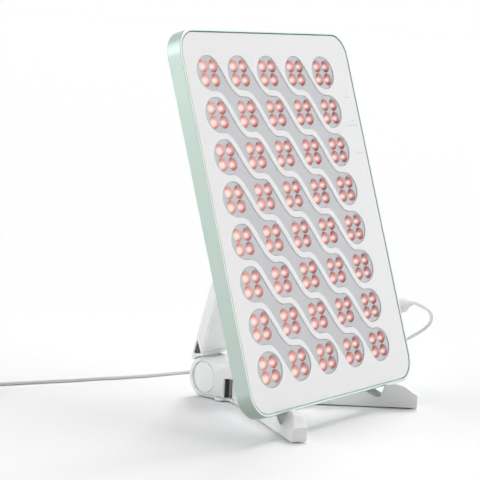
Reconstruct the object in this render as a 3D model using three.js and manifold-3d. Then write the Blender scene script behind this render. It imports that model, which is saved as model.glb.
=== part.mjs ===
// A tabletop red light therapy panel: a thin panel of forty lens clusters that leans on a folding stand.
// Millimetres, +Z up. X runs to the right seen from the front, Y runs from the front to the rear.
// The origin is on the table, under the middle of the lamp without its lead.
import * as THREE from "three";
import { mergeVertices } from "three/addons/utils/BufferGeometryUtils.js";
import Module from "manifold-3d";

const wasm = await Module();
wasm.setup();

// Shared clearances
const gap = 0.3; // between pieces that touch or seat on each other
const overrun = 2; // how far a cut runs past the face it opens
const bite = 0.4; // how far joined shapes reach into each other
const weld = 1e-4; // corners closer than this are one

// Panel outline and frame
const panelWidth = 242.8;
const panelHeight = 309.8;
const panelDepth = 13.5;
const panelCorner = 21;
const panelLean = 17.3; // degrees from upright
const faceFootHeight = 18.9; // the face's lower edge above the table
const frameWall = 2;
const ledgeReach = 5;
const ledgeThickness = 1.6;

// Lens clusters and the wells that they sit in
const columns = 5;
const rows = 8;
const firstColumnInset = 33.2; // from the panel's left edge to the first clusters' centre
const lastColumnInset = 46.4; // from the last clusters' centre to the panel's right edge
const rowInset = 35.9; // from the panel's top or bottom edge to the nearest row's centre
const wellSpacing = 7.8; // between two wells side by side
const ribbonWidth = 5.4; // the raised white ribbon between two wells
const neckSteps = 6;
const endSteps = 6;
const lensAcrossShare = 0.403; // spacing of a cluster's lenses across, of its well's width
const lensAlongShare = 0.4; // and their spacing along, of its height
const lensSizeShare = 0.312; // a lens's diameter, of its well's width
const lensSizeLimit = 0.36; // and at most this much of its height
const lensClearance = 0.4;
const lensOpeningCorner = 2.4; // cut off each corner of the opening round four lenses
const domeRise = 1.3; // above the face's edge
const domeShoulderShare = 0.88;
const domeShoulderHeightShare = 0.74;

// Layers behind the face, each a thickness
const fasciaThickness = 2;
const reflectorThickness = 1.2;
const lensPlateThickness = 1;
const emitterHeight = 1.5;
const boardThickness = 1;
const spreaderThickness = 1.5;
const coverThickness = 1.4;
const coverRim = 1.5;
const coverInset = 0.2; // the cover sits this far inside the frame's rear edge
const lensRowSpacing = 4;
const lensRowMargin = 14; // past the first and last cluster centre
const boardRowSpacing = 8;
const emitterSize = 14;
const reflectorMargin = 3.9; // between the reflector and the touch board

// Boards behind the face
const touchBoardWidth = 14;
const touchBoardHeight = 76;
const touchBoardInset = 15; // from the panel's right edge to the board's middle
const touchBoardDrop = 81.2; // from the panel's top edge to the board's middle
const driverBoardWidth = 62;
const driverBoardHeight = 84;
const driverBoardInset = 49.4; // from the panel's right edge to the board's middle
const driverBoardUp = 78;
const driverPartHeight = 0.6;
const driverPartSize = 16;

// Rear cover vents, bosses and screws
const ventLength = 46;
const ventWidth = 3;
const ventPitch = 8;
const ventCount = 6;
const ventInset = 36.4; // from the panel's side edge to the vents' outer ends
const ventDrop = 59.8; // from the panel's top edge to the first vent
const bossRadius = 4;
const bossInset = 25.4; // from the panel's side edge
const bossLowUp = 24;
const bossDrop = 23.8; // from the panel's top edge
const screwHeadRadius = 2.9;
const screwHeadHeight = 1;
const screwShankRadius = 1.3;
const screwTipDepth = 1.2; // how far the tip passes into what it holds

// Power socket, plug and lead
const jackWidth = 9;
const jackDepth = 7.8;
const jackLength = 12;
const jackUp = 64.3;
const jackBore = 3;
const jackBoreDepth = 9.5;
const wallHoleRadius = 3.6;
const plugRadius = 6.75;
const plugLength = 19;
const plugTipRadius = 2.75;
const plugTipLength = 8;
const plugWaistShare = 0.86;
const plugShoulder = 2;
const plugReliefLength = 13;
const reliefRootRadius = 4.2;
const reliefEndRadius = 2.3;
const cordDiameter = 3;
const cordSides = 8;
const cordSteps = 70;

// Hinge block on the table
const hingeY = 129; // the support arm's hinge axis
const hingeZ = 18.6;
const barrelRadius = 17.3;
const blockTop = 35.9;
const blockFloor = 3.8; // underside of the housing
const blockWaist = 19; // half width at its widest
const blockBase = 11.9; // half width on the table
const blockEndHalf = 12; // half width at the rear end
const blockFrontHalf = 11;
const blockFrontY = 84;
const blockWaistY = 117;
const legBayRearY = 106.5;
const legBayRoof = 20.8;
const padThickness = 0.8;
const plateThickness = 2.4;
const sideFullness = 0.6; // how quickly the sides swell from the table
const blockSideSteps = 12;
const blockSideCurve = 8; // steps round the barrel in the side view
const noseRiseShare = 0.5;
const noseBackShare = 0.25;

// Hinge shaft, knuckle, washers and caps
const knuckleHalf = 7;
const knuckleRadius = 13.2;
const slotHalf = 8.3;
const slotRadius = 13.6;
const shaftRadius = 4;
const shaftHalf = 12.4;
const washerRadius = 9;
const capRadius = 13.25;
const capGroove = 0.85;
const capDepth = 2.4;
const capCrown = 0.5;
const capCrownShares = [0.5, 0.75]; // of the radius and of the crown, where the cap bends
const slotFrontAngle = 14; // degrees ahead of upright
const slotRearAngle = 75; // degrees behind upright

// Legs
const legPinX = 6.8;
const legPinY = 96.2;
const legPinRadius = 2.5;
const legPinTop = 26;
const legSpread = 35.6; // degrees from straight ahead
const legWidth = 13;
const legHeight = 20.5;
const legReach = 143.7; // pin to toe
const legFullReach = 70; // full height as far as here from the pin
const legSlopeReach = 78;
const toeRunShares = [0, 0.22, 0.48, 0.84, 1];
const toeRiseShares = [0.53, 0.68, 0.89, 1, 0.955];
const toeLength = 23.4;
const toeHeight = 21.5;
const plateRadius = 8; // plate round each pin
const legUndercut = 9;
const notchFrontY = -0.8; // rear of the lip that holds the panel's lower edge
const notchFloor = 9.5;
const notchFrontRun = 2.8;
const notchFlat = 3;
const notchRearRun = 5;
const notchRearRise = 3.5;
const toeBevelRun = 28.5;
const toeBevelLow = 9;
const toeBevelReach = 6.5;
const legPadLength = 20;
const legPadWidth = 8;
const legPadInset = 5;
const basePadLength = 14;
const basePadWidth = 15;

// Base screws
const baseScrewX = 12.2;
const baseScrewY = 112;
const baseScrewTop = 12;
const screwEar = 2; // the plate reaches this far past each screw's head

// Support arm, in its own frame: V to the rear of the arm, T along it from the hinge axis
const armLean = 15.2; // degrees forward of upright
const armFrontV = 5;
const armRearV = 18.5;
const armFrontHalf = 18;
const armRearHalf = 13.5;
const armWall = 2.2;
const armCover = 2;
const armGroove = 0.8; // open groove between the arm and the barrel
const armHeelT = 9.4;
const armCollarT = 20.7;
const armSolidT = 34;
const armHeadT = 205;
const armTopT = 245;
const neckFrontV = 5;
const neckRearV = 15;
const neckLowT = 5;
const armPadThickness = 1.8;
const armPadHalf = 13;
const armPadFrontV = 6.4;
const armPadRearV = 17.2;
const windowDepth = 7; // from the arm's widest half width
const windowApex = [16.7, 27];
const windowRear = [16.5, 14.9];
const windowFront = [7.75, 19];
const insertSink = 1.2;
const insertShare = 0.9;

// Mains adapter at the end of the lead
const adapterLength = 75;
const adapterWidth = 45;
const adapterCorner = 6;
const adapterReliefLength = 25;
const bladeLength = 16;
const bladeWidth = 6.3;
const bladeThickness = 1.5;
const bladeSpacing = 12.7;
const bladeSeat = 1;

// Coil of spare lead
const coilX = -152;
const coilY = 283;
const coilStartAngle = 60; // degrees
const coilTurns = 9 + 1 / 12;
const coilLayers = 4;
const coilOuterRadius = 21.5;
const coilPitch = 3.5;
const coilSides = 6;
const coilStepsPerTurn = 24;
const coilClimbTurns = 0.5; // turns in which one layer climbs to the next
const tieThickness = 0.6;
const tieWidth = 7;
const tieAngle = 235; // degrees

// Route of the lead from the plug to the coil, chosen by hand along what the picture shows
const cordRoute = [
  [154, 26.2, 78.1],
  [158, 26.2, 77.9],
  [166.5, 26.4, 75.4],
  [182.2, 28, 70.4],
  [194, 29.5, 65.4],
  [201, 31.2, 60],
  [202.8, 33.6, 55],
  [201, 37, 50.5],
  [196.5, 42.5, 45],
  [191, 51, 37.6],
  [186, 62, 28.5],
  [181, 76, 18.5],
  [173, 94, 9.5],
  [160, 115, 4],
  [141, 139, 1.6],
  [116, 164, 1.5],
  [88, 186, 1.5],
  [58, 202.5, 1.5],
  [21, 215.3, 1.5],
  [-5, 227, 1.5],
  [-23, 236.7, 1.5],
  [-43, 246.5, 1.5],
  [-66, 258.9, 1.5],
  [-86, 269.7, 1.5],
  [-105.2, 280, 1.5],
  [-120, 288.9, 1.9],
];

// Finishes
const white = { color: 0xf1f2f2, roughness: 0.45, metalness: 0 };
const mint = { color: 0xb6cfc3, roughness: 0.35, metalness: 0.25 };
const grey = { color: 0xb9bcbf, roughness: 0.4, metalness: 0.1 };
const lens = { color: 0xe9897c, roughness: 0.12, metalness: 0 };
const board = { color: 0xe8e8e4, roughness: 0.5, metalness: 0 };
const greenBoard = { color: 0x2f6b4a, roughness: 0.5, metalness: 0 };
const metal = { color: 0xb4b7ba, roughness: 0.35, metalness: 0.9 };
const dark = { color: 0x303236, roughness: 0.6, metalness: 0 };
const rubber = { color: 0x6f7275, roughness: 0.85, metalness: 0 };
const leadWhite = { color: 0xe6e6e6, roughness: 0.5, metalness: 0 };

const rad = THREE.MathUtils.degToRad;

// Solids
function solidOf(geometry) {
  const bare = geometry.clone();
  bare.deleteAttribute("normal");
  bare.deleteAttribute("uv");
  const merged = mergeVertices(bare, weld);
  const vertProperties = new Float32Array(merged.attributes.position.array);
  const triVerts = new Uint32Array(merged.index.array);
  return new wasm.Manifold(new wasm.Mesh({ numProp: 3, vertProperties, triVerts }));
}

function geometryOf(solid) {
  const mesh = solid.getMesh();
  const geometry = new THREE.BufferGeometry();
  geometry.setAttribute("position", new THREE.BufferAttribute(mesh.vertProperties, 3));
  geometry.setIndex(new THREE.BufferAttribute(mesh.triVerts, 1));
  const flat = geometry.toNonIndexed();
  flat.computeVertexNormals();
  return flat;
}

// Joins the shapes in add and takes away those in remove, all of them geometries.
function carve(add, remove = []) {
  let solid = solidOf(add[0]);
  for (const other of add.slice(1)) solid = solid.add(solidOf(other));
  for (const other of remove) solid = solid.subtract(solidOf(other));
  return geometryOf(solid);
}

// What all the shapes have in common.
function shared(shapes) {
  let solid = solidOf(shapes[0]);
  for (const other of shapes.slice(1)) solid = solid.intersect(solidOf(other));
  return geometryOf(solid);
}

// Simple shapes
function block(x0, x1, y0, y1, z0, z1) {
  const box = new THREE.BoxGeometry(x1 - x0, y1 - y0, z1 - z0);
  return box.translate((x0 + x1) / 2, (y0 + y1) / 2, (z0 + z1) / 2);
}

function rod(radius, from, to, axis, sides = 24) {
  const cylinder = new THREE.CylinderGeometry(radius, radius, to - from, sides);
  cylinder.translate(0, (from + to) / 2, 0);
  if (axis === "x") cylinder.rotateZ(-Math.PI / 2);
  if (axis === "z") cylinder.rotateX(Math.PI / 2);
  return cylinder;
}

// A rod with twelve sides along Y, at so far right and so far up
function alongY(radius, from, to, x, up) {
  return rod(radius, from, to, "y", 12).translate(x, 0, up);
}

// The same along Z, standing at so far right and so far back
function upright(radius, from, to, x, y, sides = 12) {
  return rod(radius, from, to, "z", sides).translate(x, y, 0);
}

function ring(inner, outer, from, to, axis, sides = 24) {
  return carve(
    [rod(outer, from, to, axis, sides)],
    [rod(inner, from - overrun, to + overrun, axis, sides)],
  );
}

function outline(points) {
  return new THREE.Shape(points.map(([x, y]) => new THREE.Vector2(x, y)));
}

function extrude(shape, length, curveSegments = 4) {
  return new THREE.ExtrudeGeometry(shape, { depth: length, bevelEnabled: false, curveSegments });
}

// A shape drawn across X and Y, run up Z.
function upFrom(shape, z0, z1, curveSegments) {
  return extrude(shape, z1 - z0, curveSegments).translate(0, 0, z0);
}

// A shape drawn across X and Z, run back along Y.
function backFrom(shape, y0, y1, curveSegments) {
  return extrude(shape, y1 - y0, curveSegments).rotateX(Math.PI / 2).translate(0, y1, 0);
}

// A shape drawn across Y and Z, run along X.
function acrossFrom(shape, x0, x1, curveSegments) {
  const turn = new THREE.Matrix4().makeBasis(
    new THREE.Vector3(0, 1, 0),
    new THREE.Vector3(0, 0, 1),
    new THREE.Vector3(1, 0, 0),
  );
  return extrude(shape, x1 - x0, curveSegments).applyMatrix4(turn).translate(x0, 0, 0);
}

function roundedRectangle(width, height, radius, x = 0, y = 0) {
  const right = width / 2 - radius;
  const top = height / 2 - radius;
  const shape = new THREE.Shape();
  shape.absarc(x + right, y + top, radius, 0, Math.PI / 2);
  shape.absarc(x - right, y + top, radius, Math.PI / 2, Math.PI);
  shape.absarc(x - right, y - top, radius, Math.PI, 1.5 * Math.PI);
  shape.absarc(x + right, y - top, radius, 1.5 * Math.PI, 2 * Math.PI);
  return shape;
}

// A panel-sized outline, drawn in by inset on every side.
function panelOutline(inset) {
  const radius = panelCorner - inset;
  return roundedRectangle(
    panelWidth - 2 * inset,
    panelHeight - 2 * inset,
    radius,
    0,
    panelHeight / 2,
  );
}

// A round section whose radius follows the points, turned about the axis that it lies along.
function turned(points, axis, sides = 24) {
  const profile = points.map(([radius, along]) => new THREE.Vector2(radius, along));
  const lathe = new THREE.LatheGeometry(profile, sides);
  if (axis === "x") lathe.rotateZ(-Math.PI / 2);
  if (axis === "z") lathe.rotateX(Math.PI / 2);
  return lathe;
}

// Pieces and groups
const lamp = new THREE.Group();
const stand = new THREE.Group();
const lead = new THREE.Group();
lamp.add(stand, lead);

function piece(group, name, geometry, finish) {
  const mesh = new THREE.Mesh(geometry, new THREE.MeshStandardMaterial(finish));
  mesh.name = name;
  group.add(mesh);
  return mesh;
}

// Panel frame of reference: Y is the depth behind the face, Z runs up the face
function leaningGroup() {
  const group = new THREE.Group();
  group.position.set(0, 0, faceFootHeight);
  group.rotation.x = -rad(panelLean);
  return group;
}
const panel = leaningGroup();
stand.add(panel);

// Depths of the layers, from the face to the back
const fasciaFront = gap;
const fasciaBack = fasciaFront + fasciaThickness;
const ledgeFront = fasciaBack + gap;
const ledgeBack = ledgeFront + ledgeThickness;
const reflectorBack = ledgeFront + reflectorThickness;
const lensPlateFront = reflectorBack + gap;
const lensPlateBack = lensPlateFront + lensPlateThickness;
const emitterFront = lensPlateBack + gap;
const boardFront = emitterFront + emitterHeight;
const boardBack = boardFront + boardThickness;
const spreaderFront = boardBack + gap;
const spreaderBack = spreaderFront + spreaderThickness;
const coverBack = panelDepth - coverInset;
const coverFront = coverBack - coverThickness;
const jackMiddle = (lensPlateFront + coverFront) / 2 - gap;
const halfWidth = panelWidth / 2;
const wallInside = halfWidth - frameWall;

// Cluster places: rows run down from the top
const columnPitch = (panelWidth - firstColumnInset - lastColumnInset) / (columns - 1);
const rowPitch = (panelHeight - 2 * rowInset) / (rows - 1);
const wellWidth = columnPitch - wellSpacing;
const wellHeight = rowPitch - ribbonWidth;
const lensAcross = wellWidth * lensAcrossShare;
const lensAlong = wellHeight * lensAlongShare;
const lensDiameter = Math.min(wellWidth * lensSizeShare, wellHeight * lensSizeLimit);
const domeHeight = lensPlateFront + domeRise;
const firstColumnX = firstColumnInset - halfWidth;
const firstRowUp = panelHeight - rowInset;
const columnX = (column) => firstColumnX + column * columnPitch;
const rowUp = (row) => firstRowUp - row * rowPitch;
const lastColumnX = columnX(columns - 1);
const touchBoardX = halfWidth - touchBoardInset;
const touchBoardUp = panelHeight - touchBoardDrop;

// Space that the socket needs inside the panel
function jackRoom(clearance) {
  return block(
    wallInside - gap - jackLength - clearance,
    wallInside - gap + clearance,
    jackMiddle - jackDepth / 2 - clearance,
    jackMiddle + jackDepth / 2 + clearance,
    jackUp - jackWidth / 2 - clearance,
    jackUp + jackWidth / 2 + clearance,
  );
}

// Side frame: an extruded band with a ledge inside that carries the fascia
{
  const band = panelOutline(0);
  band.holes.push(panelOutline(frameWall));
  const ledge = panelOutline(frameWall - bite);
  ledge.holes.push(panelOutline(frameWall + ledgeReach));
  const hole = rod(wallHoleRadius, wallInside - overrun, halfWidth + overrun, "x");
  const geometry = carve(
    [backFrom(band, 0, panelDepth), backFrom(ledge, ledgeFront, ledgeBack)],
    [jackRoom(gap), hole.translate(0, jackMiddle, jackUp)],
  );
  piece(panel, "side_frame", geometry, mint);
}

// One edge of a white ribbon, from under one cluster to under the next one down and right.
// The middle line falls by a row pitch over a column pitch, and lies level at both ends.
function ribbonEdge(x, up, side) {
  const points = [];
  for (let i = 0; i <= neckSteps; i++) {
    const share = i / neckSteps;
    const turn = 2 * Math.PI * share;
    const slopeUp = rowPitch * (Math.cos(turn) - 1);
    const aside = (side * ribbonWidth) / 2 / Math.hypot(columnPitch, slopeUp);
    const wave = (rowPitch / (2 * Math.PI)) * Math.sin(turn);
    points.push([
      x + columnPitch * share - aside * slopeUp,
      up - rowPitch * share + wave + aside * columnPitch,
    ]);
  }
  return points;
}

// One grey channel: wells that step down to the right, joined by necks, with round ends.
function channelOutline(row, column, count) {
  const points = [];
  const halfRound = (x, up, from) => {
    for (let i = 1; i < endSteps; i++) {
      const angle = from - (Math.PI * i) / endSteps;
      points.push([
        x + (wellWidth / 2) * Math.cos(angle),
        up + (wellHeight / 2) * Math.sin(angle),
      ]);
    }
  };
  const alongRibbon = (i, side) =>
    ribbonEdge(columnX(column + i), rowUp(row + i) - (side * rowPitch) / 2, side);
  const last = count - 1;
  halfRound(columnX(column), rowUp(row), -Math.PI / 2);
  points.push([columnX(column), rowUp(row) + wellHeight / 2]);
  for (let i = 0; i < last; i++) points.push(...alongRibbon(i, -1).slice(1));
  halfRound(columnX(column + last), rowUp(row + last), Math.PI / 2);
  points.push([columnX(column + last), rowUp(row + last) - wellHeight / 2]);
  for (let i = last - 1; i >= 0; i--) points.push(...alongRibbon(i, 1).reverse().slice(1));
  return new THREE.Path(points.map(([x, y]) => new THREE.Vector2(x, y)));
}

// Front fascia: a white plate with twelve channels, one along each diagonal of clusters
{
  const plate = panelOutline(frameWall + gap);
  for (let diagonal = 1 - rows; diagonal < columns; diagonal++) {
    const row = Math.max(0, -diagonal);
    const column = Math.max(0, diagonal);
    const count = Math.min(rows - row, columns - column);
    plate.holes.push(channelOutline(row, column, count));
  }
  piece(panel, "front_fascia", backFrom(plate, fasciaFront, fasciaBack), white);
}

// Reflector: the grey plate behind the channels, open at each cluster
{
  const left = -wallInside + ledgeReach + gap;
  const right = touchBoardX - touchBoardWidth / 2 - reflectorMargin;
  const height = panelHeight - 2 * (frameWall + ledgeReach + gap);
  const corner = panelCorner - frameWall - ledgeReach;
  const middle = (left + right) / 2;
  const plate = roundedRectangle(right - left, height, corner, middle, panelHeight / 2);
  const opening = lensDiameter / 2 + lensClearance;
  const halfX = lensAcross / 2 + opening;
  const halfY = lensAlong / 2 + opening;
  const flatX = halfX - lensOpeningCorner;
  const flatY = halfY - lensOpeningCorner;
  for (let row = 0; row < rows; row++)
    for (let column = 0; column < columns; column++) {
      const corners = [
        [halfX, flatY], [flatX, halfY], [-flatX, halfY], [-halfX, flatY],
        [-halfX, -flatY], [-flatX, -halfY], [flatX, -halfY], [halfX, -flatY],
      ];
      const placed = corners.map(([x, y]) => [columnX(column) + x, rowUp(row) + y]);
      plate.holes.push(new THREE.Path(placed.map(([x, y]) => new THREE.Vector2(x, y))));
    }
  piece(panel, "grey_reflector", backFrom(plate, ledgeFront, reflectorBack, 4), grey);
}

// Lens rows: a clear strip with four domes at each cluster
const lensRowLeft = firstColumnX - lensRowMargin;
const lensRowRight = lastColumnX + lensRowMargin;
const lensRowHeight = rowPitch - lensRowSpacing;
for (let row = 0; row < rows; row++) {
  const up = rowUp(row);
  const strip = block(
    lensRowLeft,
    lensRowRight,
    lensPlateFront,
    lensPlateBack,
    up - lensRowHeight / 2,
    up + lensRowHeight / 2,
  );
  const radius = lensDiameter / 2;
  const domes = [];
  for (let column = 0; column < columns; column++)
    for (const across of [-1, 1])
      for (const along of [-1, 1]) {
        const dome = turned(
          [
            [0, -bite],
            [radius, -bite],
            [radius * domeShoulderShare, domeHeight * domeShoulderHeightShare],
            [0, domeHeight],
          ],
          "y",
          6,
        );
        dome.rotateX(Math.PI);
        dome.translate(
          columnX(column) + (across * lensAcross) / 2,
          lensPlateFront,
          up + (along * lensAlong) / 2,
        );
        domes.push(dome);
      }
  piece(panel, `lens_row_${row + 1}`, carve([strip, ...domes]), lens);
}

// LED boards: a strip behind each lens row with one emitter block at each cluster
const boardRowHeight = rowPitch - boardRowSpacing;
for (let row = 0; row < rows; row++) {
  const up = rowUp(row);
  const strip = block(
    lensRowLeft,
    lensRowRight,
    boardFront,
    boardBack,
    up - boardRowHeight / 2,
    up + boardRowHeight / 2,
  );
  const emitters = [];
  for (let column = 0; column < columns; column++) {
    const x = columnX(column);
    emitters.push(
      block(
        x - emitterSize / 2,
        x + emitterSize / 2,
        emitterFront,
        boardFront + bite,
        up - emitterSize / 2,
        up + emitterSize / 2,
      ),
    );
  }
  piece(panel, `led_board_${row + 1}`, carve([strip, ...emitters]), board);
}

// Places of the four bosses and their screws
const bossX = halfWidth - bossInset;
const bossHighUp = panelHeight - bossDrop;
const bossPlaces = [
  [-bossX, bossLowUp],
  [bossX, bossLowUp],
  [-bossX, bossHighUp],
  [bossX, bossHighUp],
];

// Heat spreader: the aluminium sheet behind the boards
{
  const inset = frameWall + gap + coverRim + gap;
  const holes = bossPlaces.map(([x, up]) =>
    alongY(screwShankRadius + gap, spreaderFront - overrun, spreaderBack + overrun, x, up),
  );
  const geometry = carve(
    [backFrom(panelOutline(inset), spreaderFront, spreaderBack)],
    [jackRoom(gap), ...holes],
  );
  piece(panel, "heat_spreader", geometry, metal);
}

// Driver board with its tallest parts, on the back of the heat spreader
{
  const driverBoardX = halfWidth - driverBoardInset;
  const front = spreaderBack + gap;
  const back = front + boardThickness;
  const plate = block(
    driverBoardX - driverBoardWidth / 2,
    driverBoardX + driverBoardWidth / 2,
    front,
    back,
    driverBoardUp - driverBoardHeight / 2,
    driverBoardUp + driverBoardHeight / 2,
  );
  const parts = [];
  for (const along of [-1, 0, 1])
    parts.push(
      block(
        driverBoardX - driverPartSize / 2,
        driverBoardX + driverPartSize / 2,
        back - bite,
        back + driverPartHeight,
        driverBoardUp + (along * driverBoardHeight) / 3 - driverPartSize / 2,
        driverBoardUp + (along * driverBoardHeight) / 3 + driverPartSize / 2,
      ),
    );
  piece(panel, "driver_board", carve([plate, ...parts], [jackRoom(gap)]), greenBoard);
}

// Touch board under the three marks at the face's right edge
piece(
  panel,
  "touch_board",
  block(
    touchBoardX - touchBoardWidth / 2,
    touchBoardX + touchBoardWidth / 2,
    ledgeFront,
    reflectorBack,
    touchBoardUp - touchBoardHeight / 2,
    touchBoardUp + touchBoardHeight / 2,
  ),
  greenBoard,
);

// Rear cover: a shallow tray whose rim seats on the frame's ledge, with vents and screw bosses
{
  const plate = panelOutline(frameWall + gap);
  const ventX = halfWidth - ventInset - ventLength / 2;
  for (const side of [-1, 1])
    for (let i = 0; i < ventCount; i++) {
      const up = panelHeight - ventDrop - i * ventPitch;
      const slot = roundedRectangle(ventLength, ventWidth, ventWidth / 2, side * ventX, up);
      plate.holes.push(new THREE.Path(slot.getPoints(1)));
    }
  const rim = panelOutline(frameWall + gap);
  rim.holes.push(panelOutline(frameWall + gap + coverRim));
  const bosses = bossPlaces.map(([x, up]) =>
    alongY(bossRadius, spreaderBack + gap, coverFront + bite, x, up),
  );
  const shanks = bossPlaces.map(([x, up]) =>
    alongY(screwShankRadius + gap, spreaderBack - overrun, coverBack + overrun, x, up),
  );
  const headFloor = coverBack - screwHeadHeight - gap;
  const heads = bossPlaces.map(([x, up]) =>
    alongY(screwHeadRadius + gap, headFloor, coverBack + overrun, x, up),
  );
  const tray = backFrom(plate, coverFront, coverBack);
  const rimWall = backFrom(rim, ledgeBack + gap, coverFront + bite);
  const geometry = carve([tray, rimWall, ...bosses], [jackRoom(gap), ...shanks, ...heads]);
  piece(panel, "rear_cover", geometry, white);
}

// Rear screws
bossPlaces.forEach(([x, up], index) => {
  const screw = turned(
    [
      [0, spreaderFront + screwTipDepth],
      [screwShankRadius, spreaderFront + screwTipDepth],
      [screwShankRadius, coverBack - screwHeadHeight],
      [screwHeadRadius, coverBack - screwHeadHeight],
      [screwHeadRadius, coverBack],
      [0, coverBack],
    ],
    "y",
    12,
  );
  piece(panel, `cover_screw_${index + 1}`, screw.translate(x, 0, up), metal);
});

// Power socket inside the right wall
{
  const end = wallInside - gap;
  const bore = rod(jackBore, end - jackBoreDepth, end + overrun, "x", 16);
  piece(panel, "dc_jack", carve([jackRoom(0)], [bore.translate(0, jackMiddle, jackUp)]), dark);
}

// Hinge block: what the side view, the plan and the front view have in common
const hingeAt = (angle, radius) => [
  hingeY + radius * Math.sin(rad(angle)),
  hingeZ + radius * Math.cos(rad(angle)),
];

function blockSideView() {
  const noseRise = blockTop - legBayRoof;
  const noseBack = (legBayRearY - blockFrontY) * noseBackShare;
  const shape = new THREE.Shape();
  shape.moveTo(blockFrontY, legBayRoof);
  shape.lineTo(legBayRearY, legBayRoof);
  shape.lineTo(legBayRearY, blockFloor);
  const drop = hingeZ - blockFloor;
  const start = -Math.asin(drop / barrelRadius);
  shape.lineTo(hingeY + barrelRadius * Math.cos(start), blockFloor);
  shape.absarc(hingeY, hingeZ, barrelRadius, start, Math.PI / 2);
  shape.lineTo(blockFrontY + 2 * noseBack, blockTop);
  shape.lineTo(blockFrontY + noseBack / 2, blockTop - (noseRise * (1 - noseRiseShare)) / 2);
  shape.lineTo(blockFrontY, legBayRoof + noseRise * noseRiseShare);
  return shape;
}

function blockPlan() {
  const rear = hingeY + barrelRadius;
  return outline([
    [-blockFrontHalf, blockFrontY - overrun],
    [blockFrontHalf, blockFrontY - overrun],
    [blockWaist, blockWaistY],
    [blockEndHalf, rear],
    [blockEndHalf, rear + overrun],
    [-blockEndHalf, rear + overrun],
    [-blockEndHalf, rear],
    [-blockWaist, blockWaistY],
  ]);
}

const plateBottom = padThickness + gap;
const plateTop = plateBottom + plateThickness;

function blockFrontView() {
  const low = plateBottom;
  const right = [];
  for (let i = 0; i <= blockSideSteps; i++) {
    const share = i / blockSideSteps;
    const swell = Math.pow(Math.sin(Math.PI * share), sideFullness);
    right.push([blockBase + (blockWaist - blockBase) * swell, low + (blockTop + gap - low) * share]);
  }
  const left = right.map(([x, z]) => [-x, z]).reverse();
  return outline([...right, ...left]);
}

// Caps sit on the flat sides that face a little to the rear
const facetRun = hingeY + barrelRadius - blockWaistY;
const facetLean = Math.atan2(blockWaist - blockEndHalf, facetRun);
const capX = blockWaist - ((blockWaist - blockEndHalf) * (hingeY - blockWaistY)) / facetRun;

function onFacet(geometry, side) {
  geometry.rotateZ(side > 0 ? -Math.PI / 2 : Math.PI / 2);
  geometry.rotateZ(side * facetLean);
  return geometry.translate(side * capX, hingeY, hingeZ);
}

{
  const body = shared([
    acrossFrom(blockSideView(), -blockWaist - overrun, blockWaist + overrun, blockSideCurve),
    upFrom(blockPlan(), 0, blockTop + overrun),
    backFrom(blockFrontView(), blockFrontY - overrun, hingeY + barrelRadius + overrun),
  ]);
  const far = 2 * barrelRadius;
  const sector = outline([
    [hingeY, hingeZ],
    hingeAt(slotRearAngle, far),
    hingeAt((slotRearAngle - slotFrontAngle) / 2, far),
    hingeAt(-slotFrontAngle, far),
  ]);
  const recesses = [-1, 1].map((side) =>
    onFacet(rod(capRadius + capGroove, -capDepth, far, "y", 24), side),
  );
  const pinHoles = [-1, 1].map((side) =>
    upright(legPinRadius + gap, blockFloor, legPinTop + gap, side * legPinX, legPinY, 16),
  );
  const screwHoles = [-1, 1].map((side) =>
    upright(screwShankRadius + gap, 0, baseScrewTop + gap, side * baseScrewX, baseScrewY),
  );
  const shaftReach = blockWaist + overrun;
  const shaftHole = rod(shaftRadius + gap, -shaftReach, shaftReach, "x");
  const geometry = carve(
    [body],
    [
      rod(slotRadius, -slotHalf, slotHalf, "x", 30).translate(0, hingeY, hingeZ),
      acrossFrom(sector, -slotHalf, slotHalf),
      shaftHole.translate(0, hingeY, hingeZ),
      ...recesses,
      ...pinHoles,
      ...screwHoles,
    ],
  );
  piece(stand, "base_housing", geometry, white);
}

// Base plate under the hinge block and the leg pins
{
  const rearY = hingeY + Math.sqrt(barrelRadius ** 2 - (hingeZ - blockFloor) ** 2);
  const body = block(-blockBase, blockBase, legPinY, rearY, plateBottom, plateTop);
  const headTop = plateBottom + screwHeadHeight + gap;
  const discs = [];
  const holes = [];
  for (const side of [-1, 1]) {
    const x = side * baseScrewX;
    discs.push(upright(plateRadius, plateBottom, plateTop, side * legPinX, legPinY, 20));
    discs.push(upright(screwHeadRadius + screwEar, plateBottom, plateTop, x, baseScrewY, 16));
    holes.push(upright(screwShankRadius + gap, 0, plateTop + overrun, x, baseScrewY));
    holes.push(upright(screwHeadRadius + gap, 0, headTop, x, baseScrewY, 16));
  }
  piece(stand, "base_plate", carve([body, ...discs], holes), white);
}

for (const side of [-1, 1]) {
  const name = side < 0 ? "left" : "right";
  const screw = turned(
    [
      [0, plateBottom],
      [screwHeadRadius, plateBottom],
      [screwHeadRadius, plateBottom + screwHeadHeight],
      [screwShankRadius, plateBottom + screwHeadHeight],
      [screwShankRadius, baseScrewTop],
      [0, baseScrewTop],
    ],
    "z",
    12,
  );
  piece(stand, `base_screw_${name}`, screw.translate(side * baseScrewX, baseScrewY, 0), metal);
  const pin = rod(legPinRadius, plateTop + gap, legPinTop, "z");
  piece(stand, `leg_pin_${name}`, pin.translate(side * legPinX, legPinY, 0), metal);
  const washer = ring(shaftRadius + gap, washerRadius, knuckleHalf + gap, slotHalf - gap, "x", 24);
  if (side < 0) washer.rotateZ(Math.PI);
  piece(stand, `friction_washer_${name}`, washer.translate(0, hingeY, hingeZ), metal);
  const cap = turned(
    [
      [0, gap - capDepth],
      [capRadius, gap - capDepth],
      [capRadius, 0],
      [capRadius * capCrownShares[0], capCrown * capCrownShares[1]],
      [0, capCrown],
    ],
    "y",
    24,
  );
  piece(stand, `hinge_cap_${name}`, onFacet(cap, side), white);
}

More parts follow.
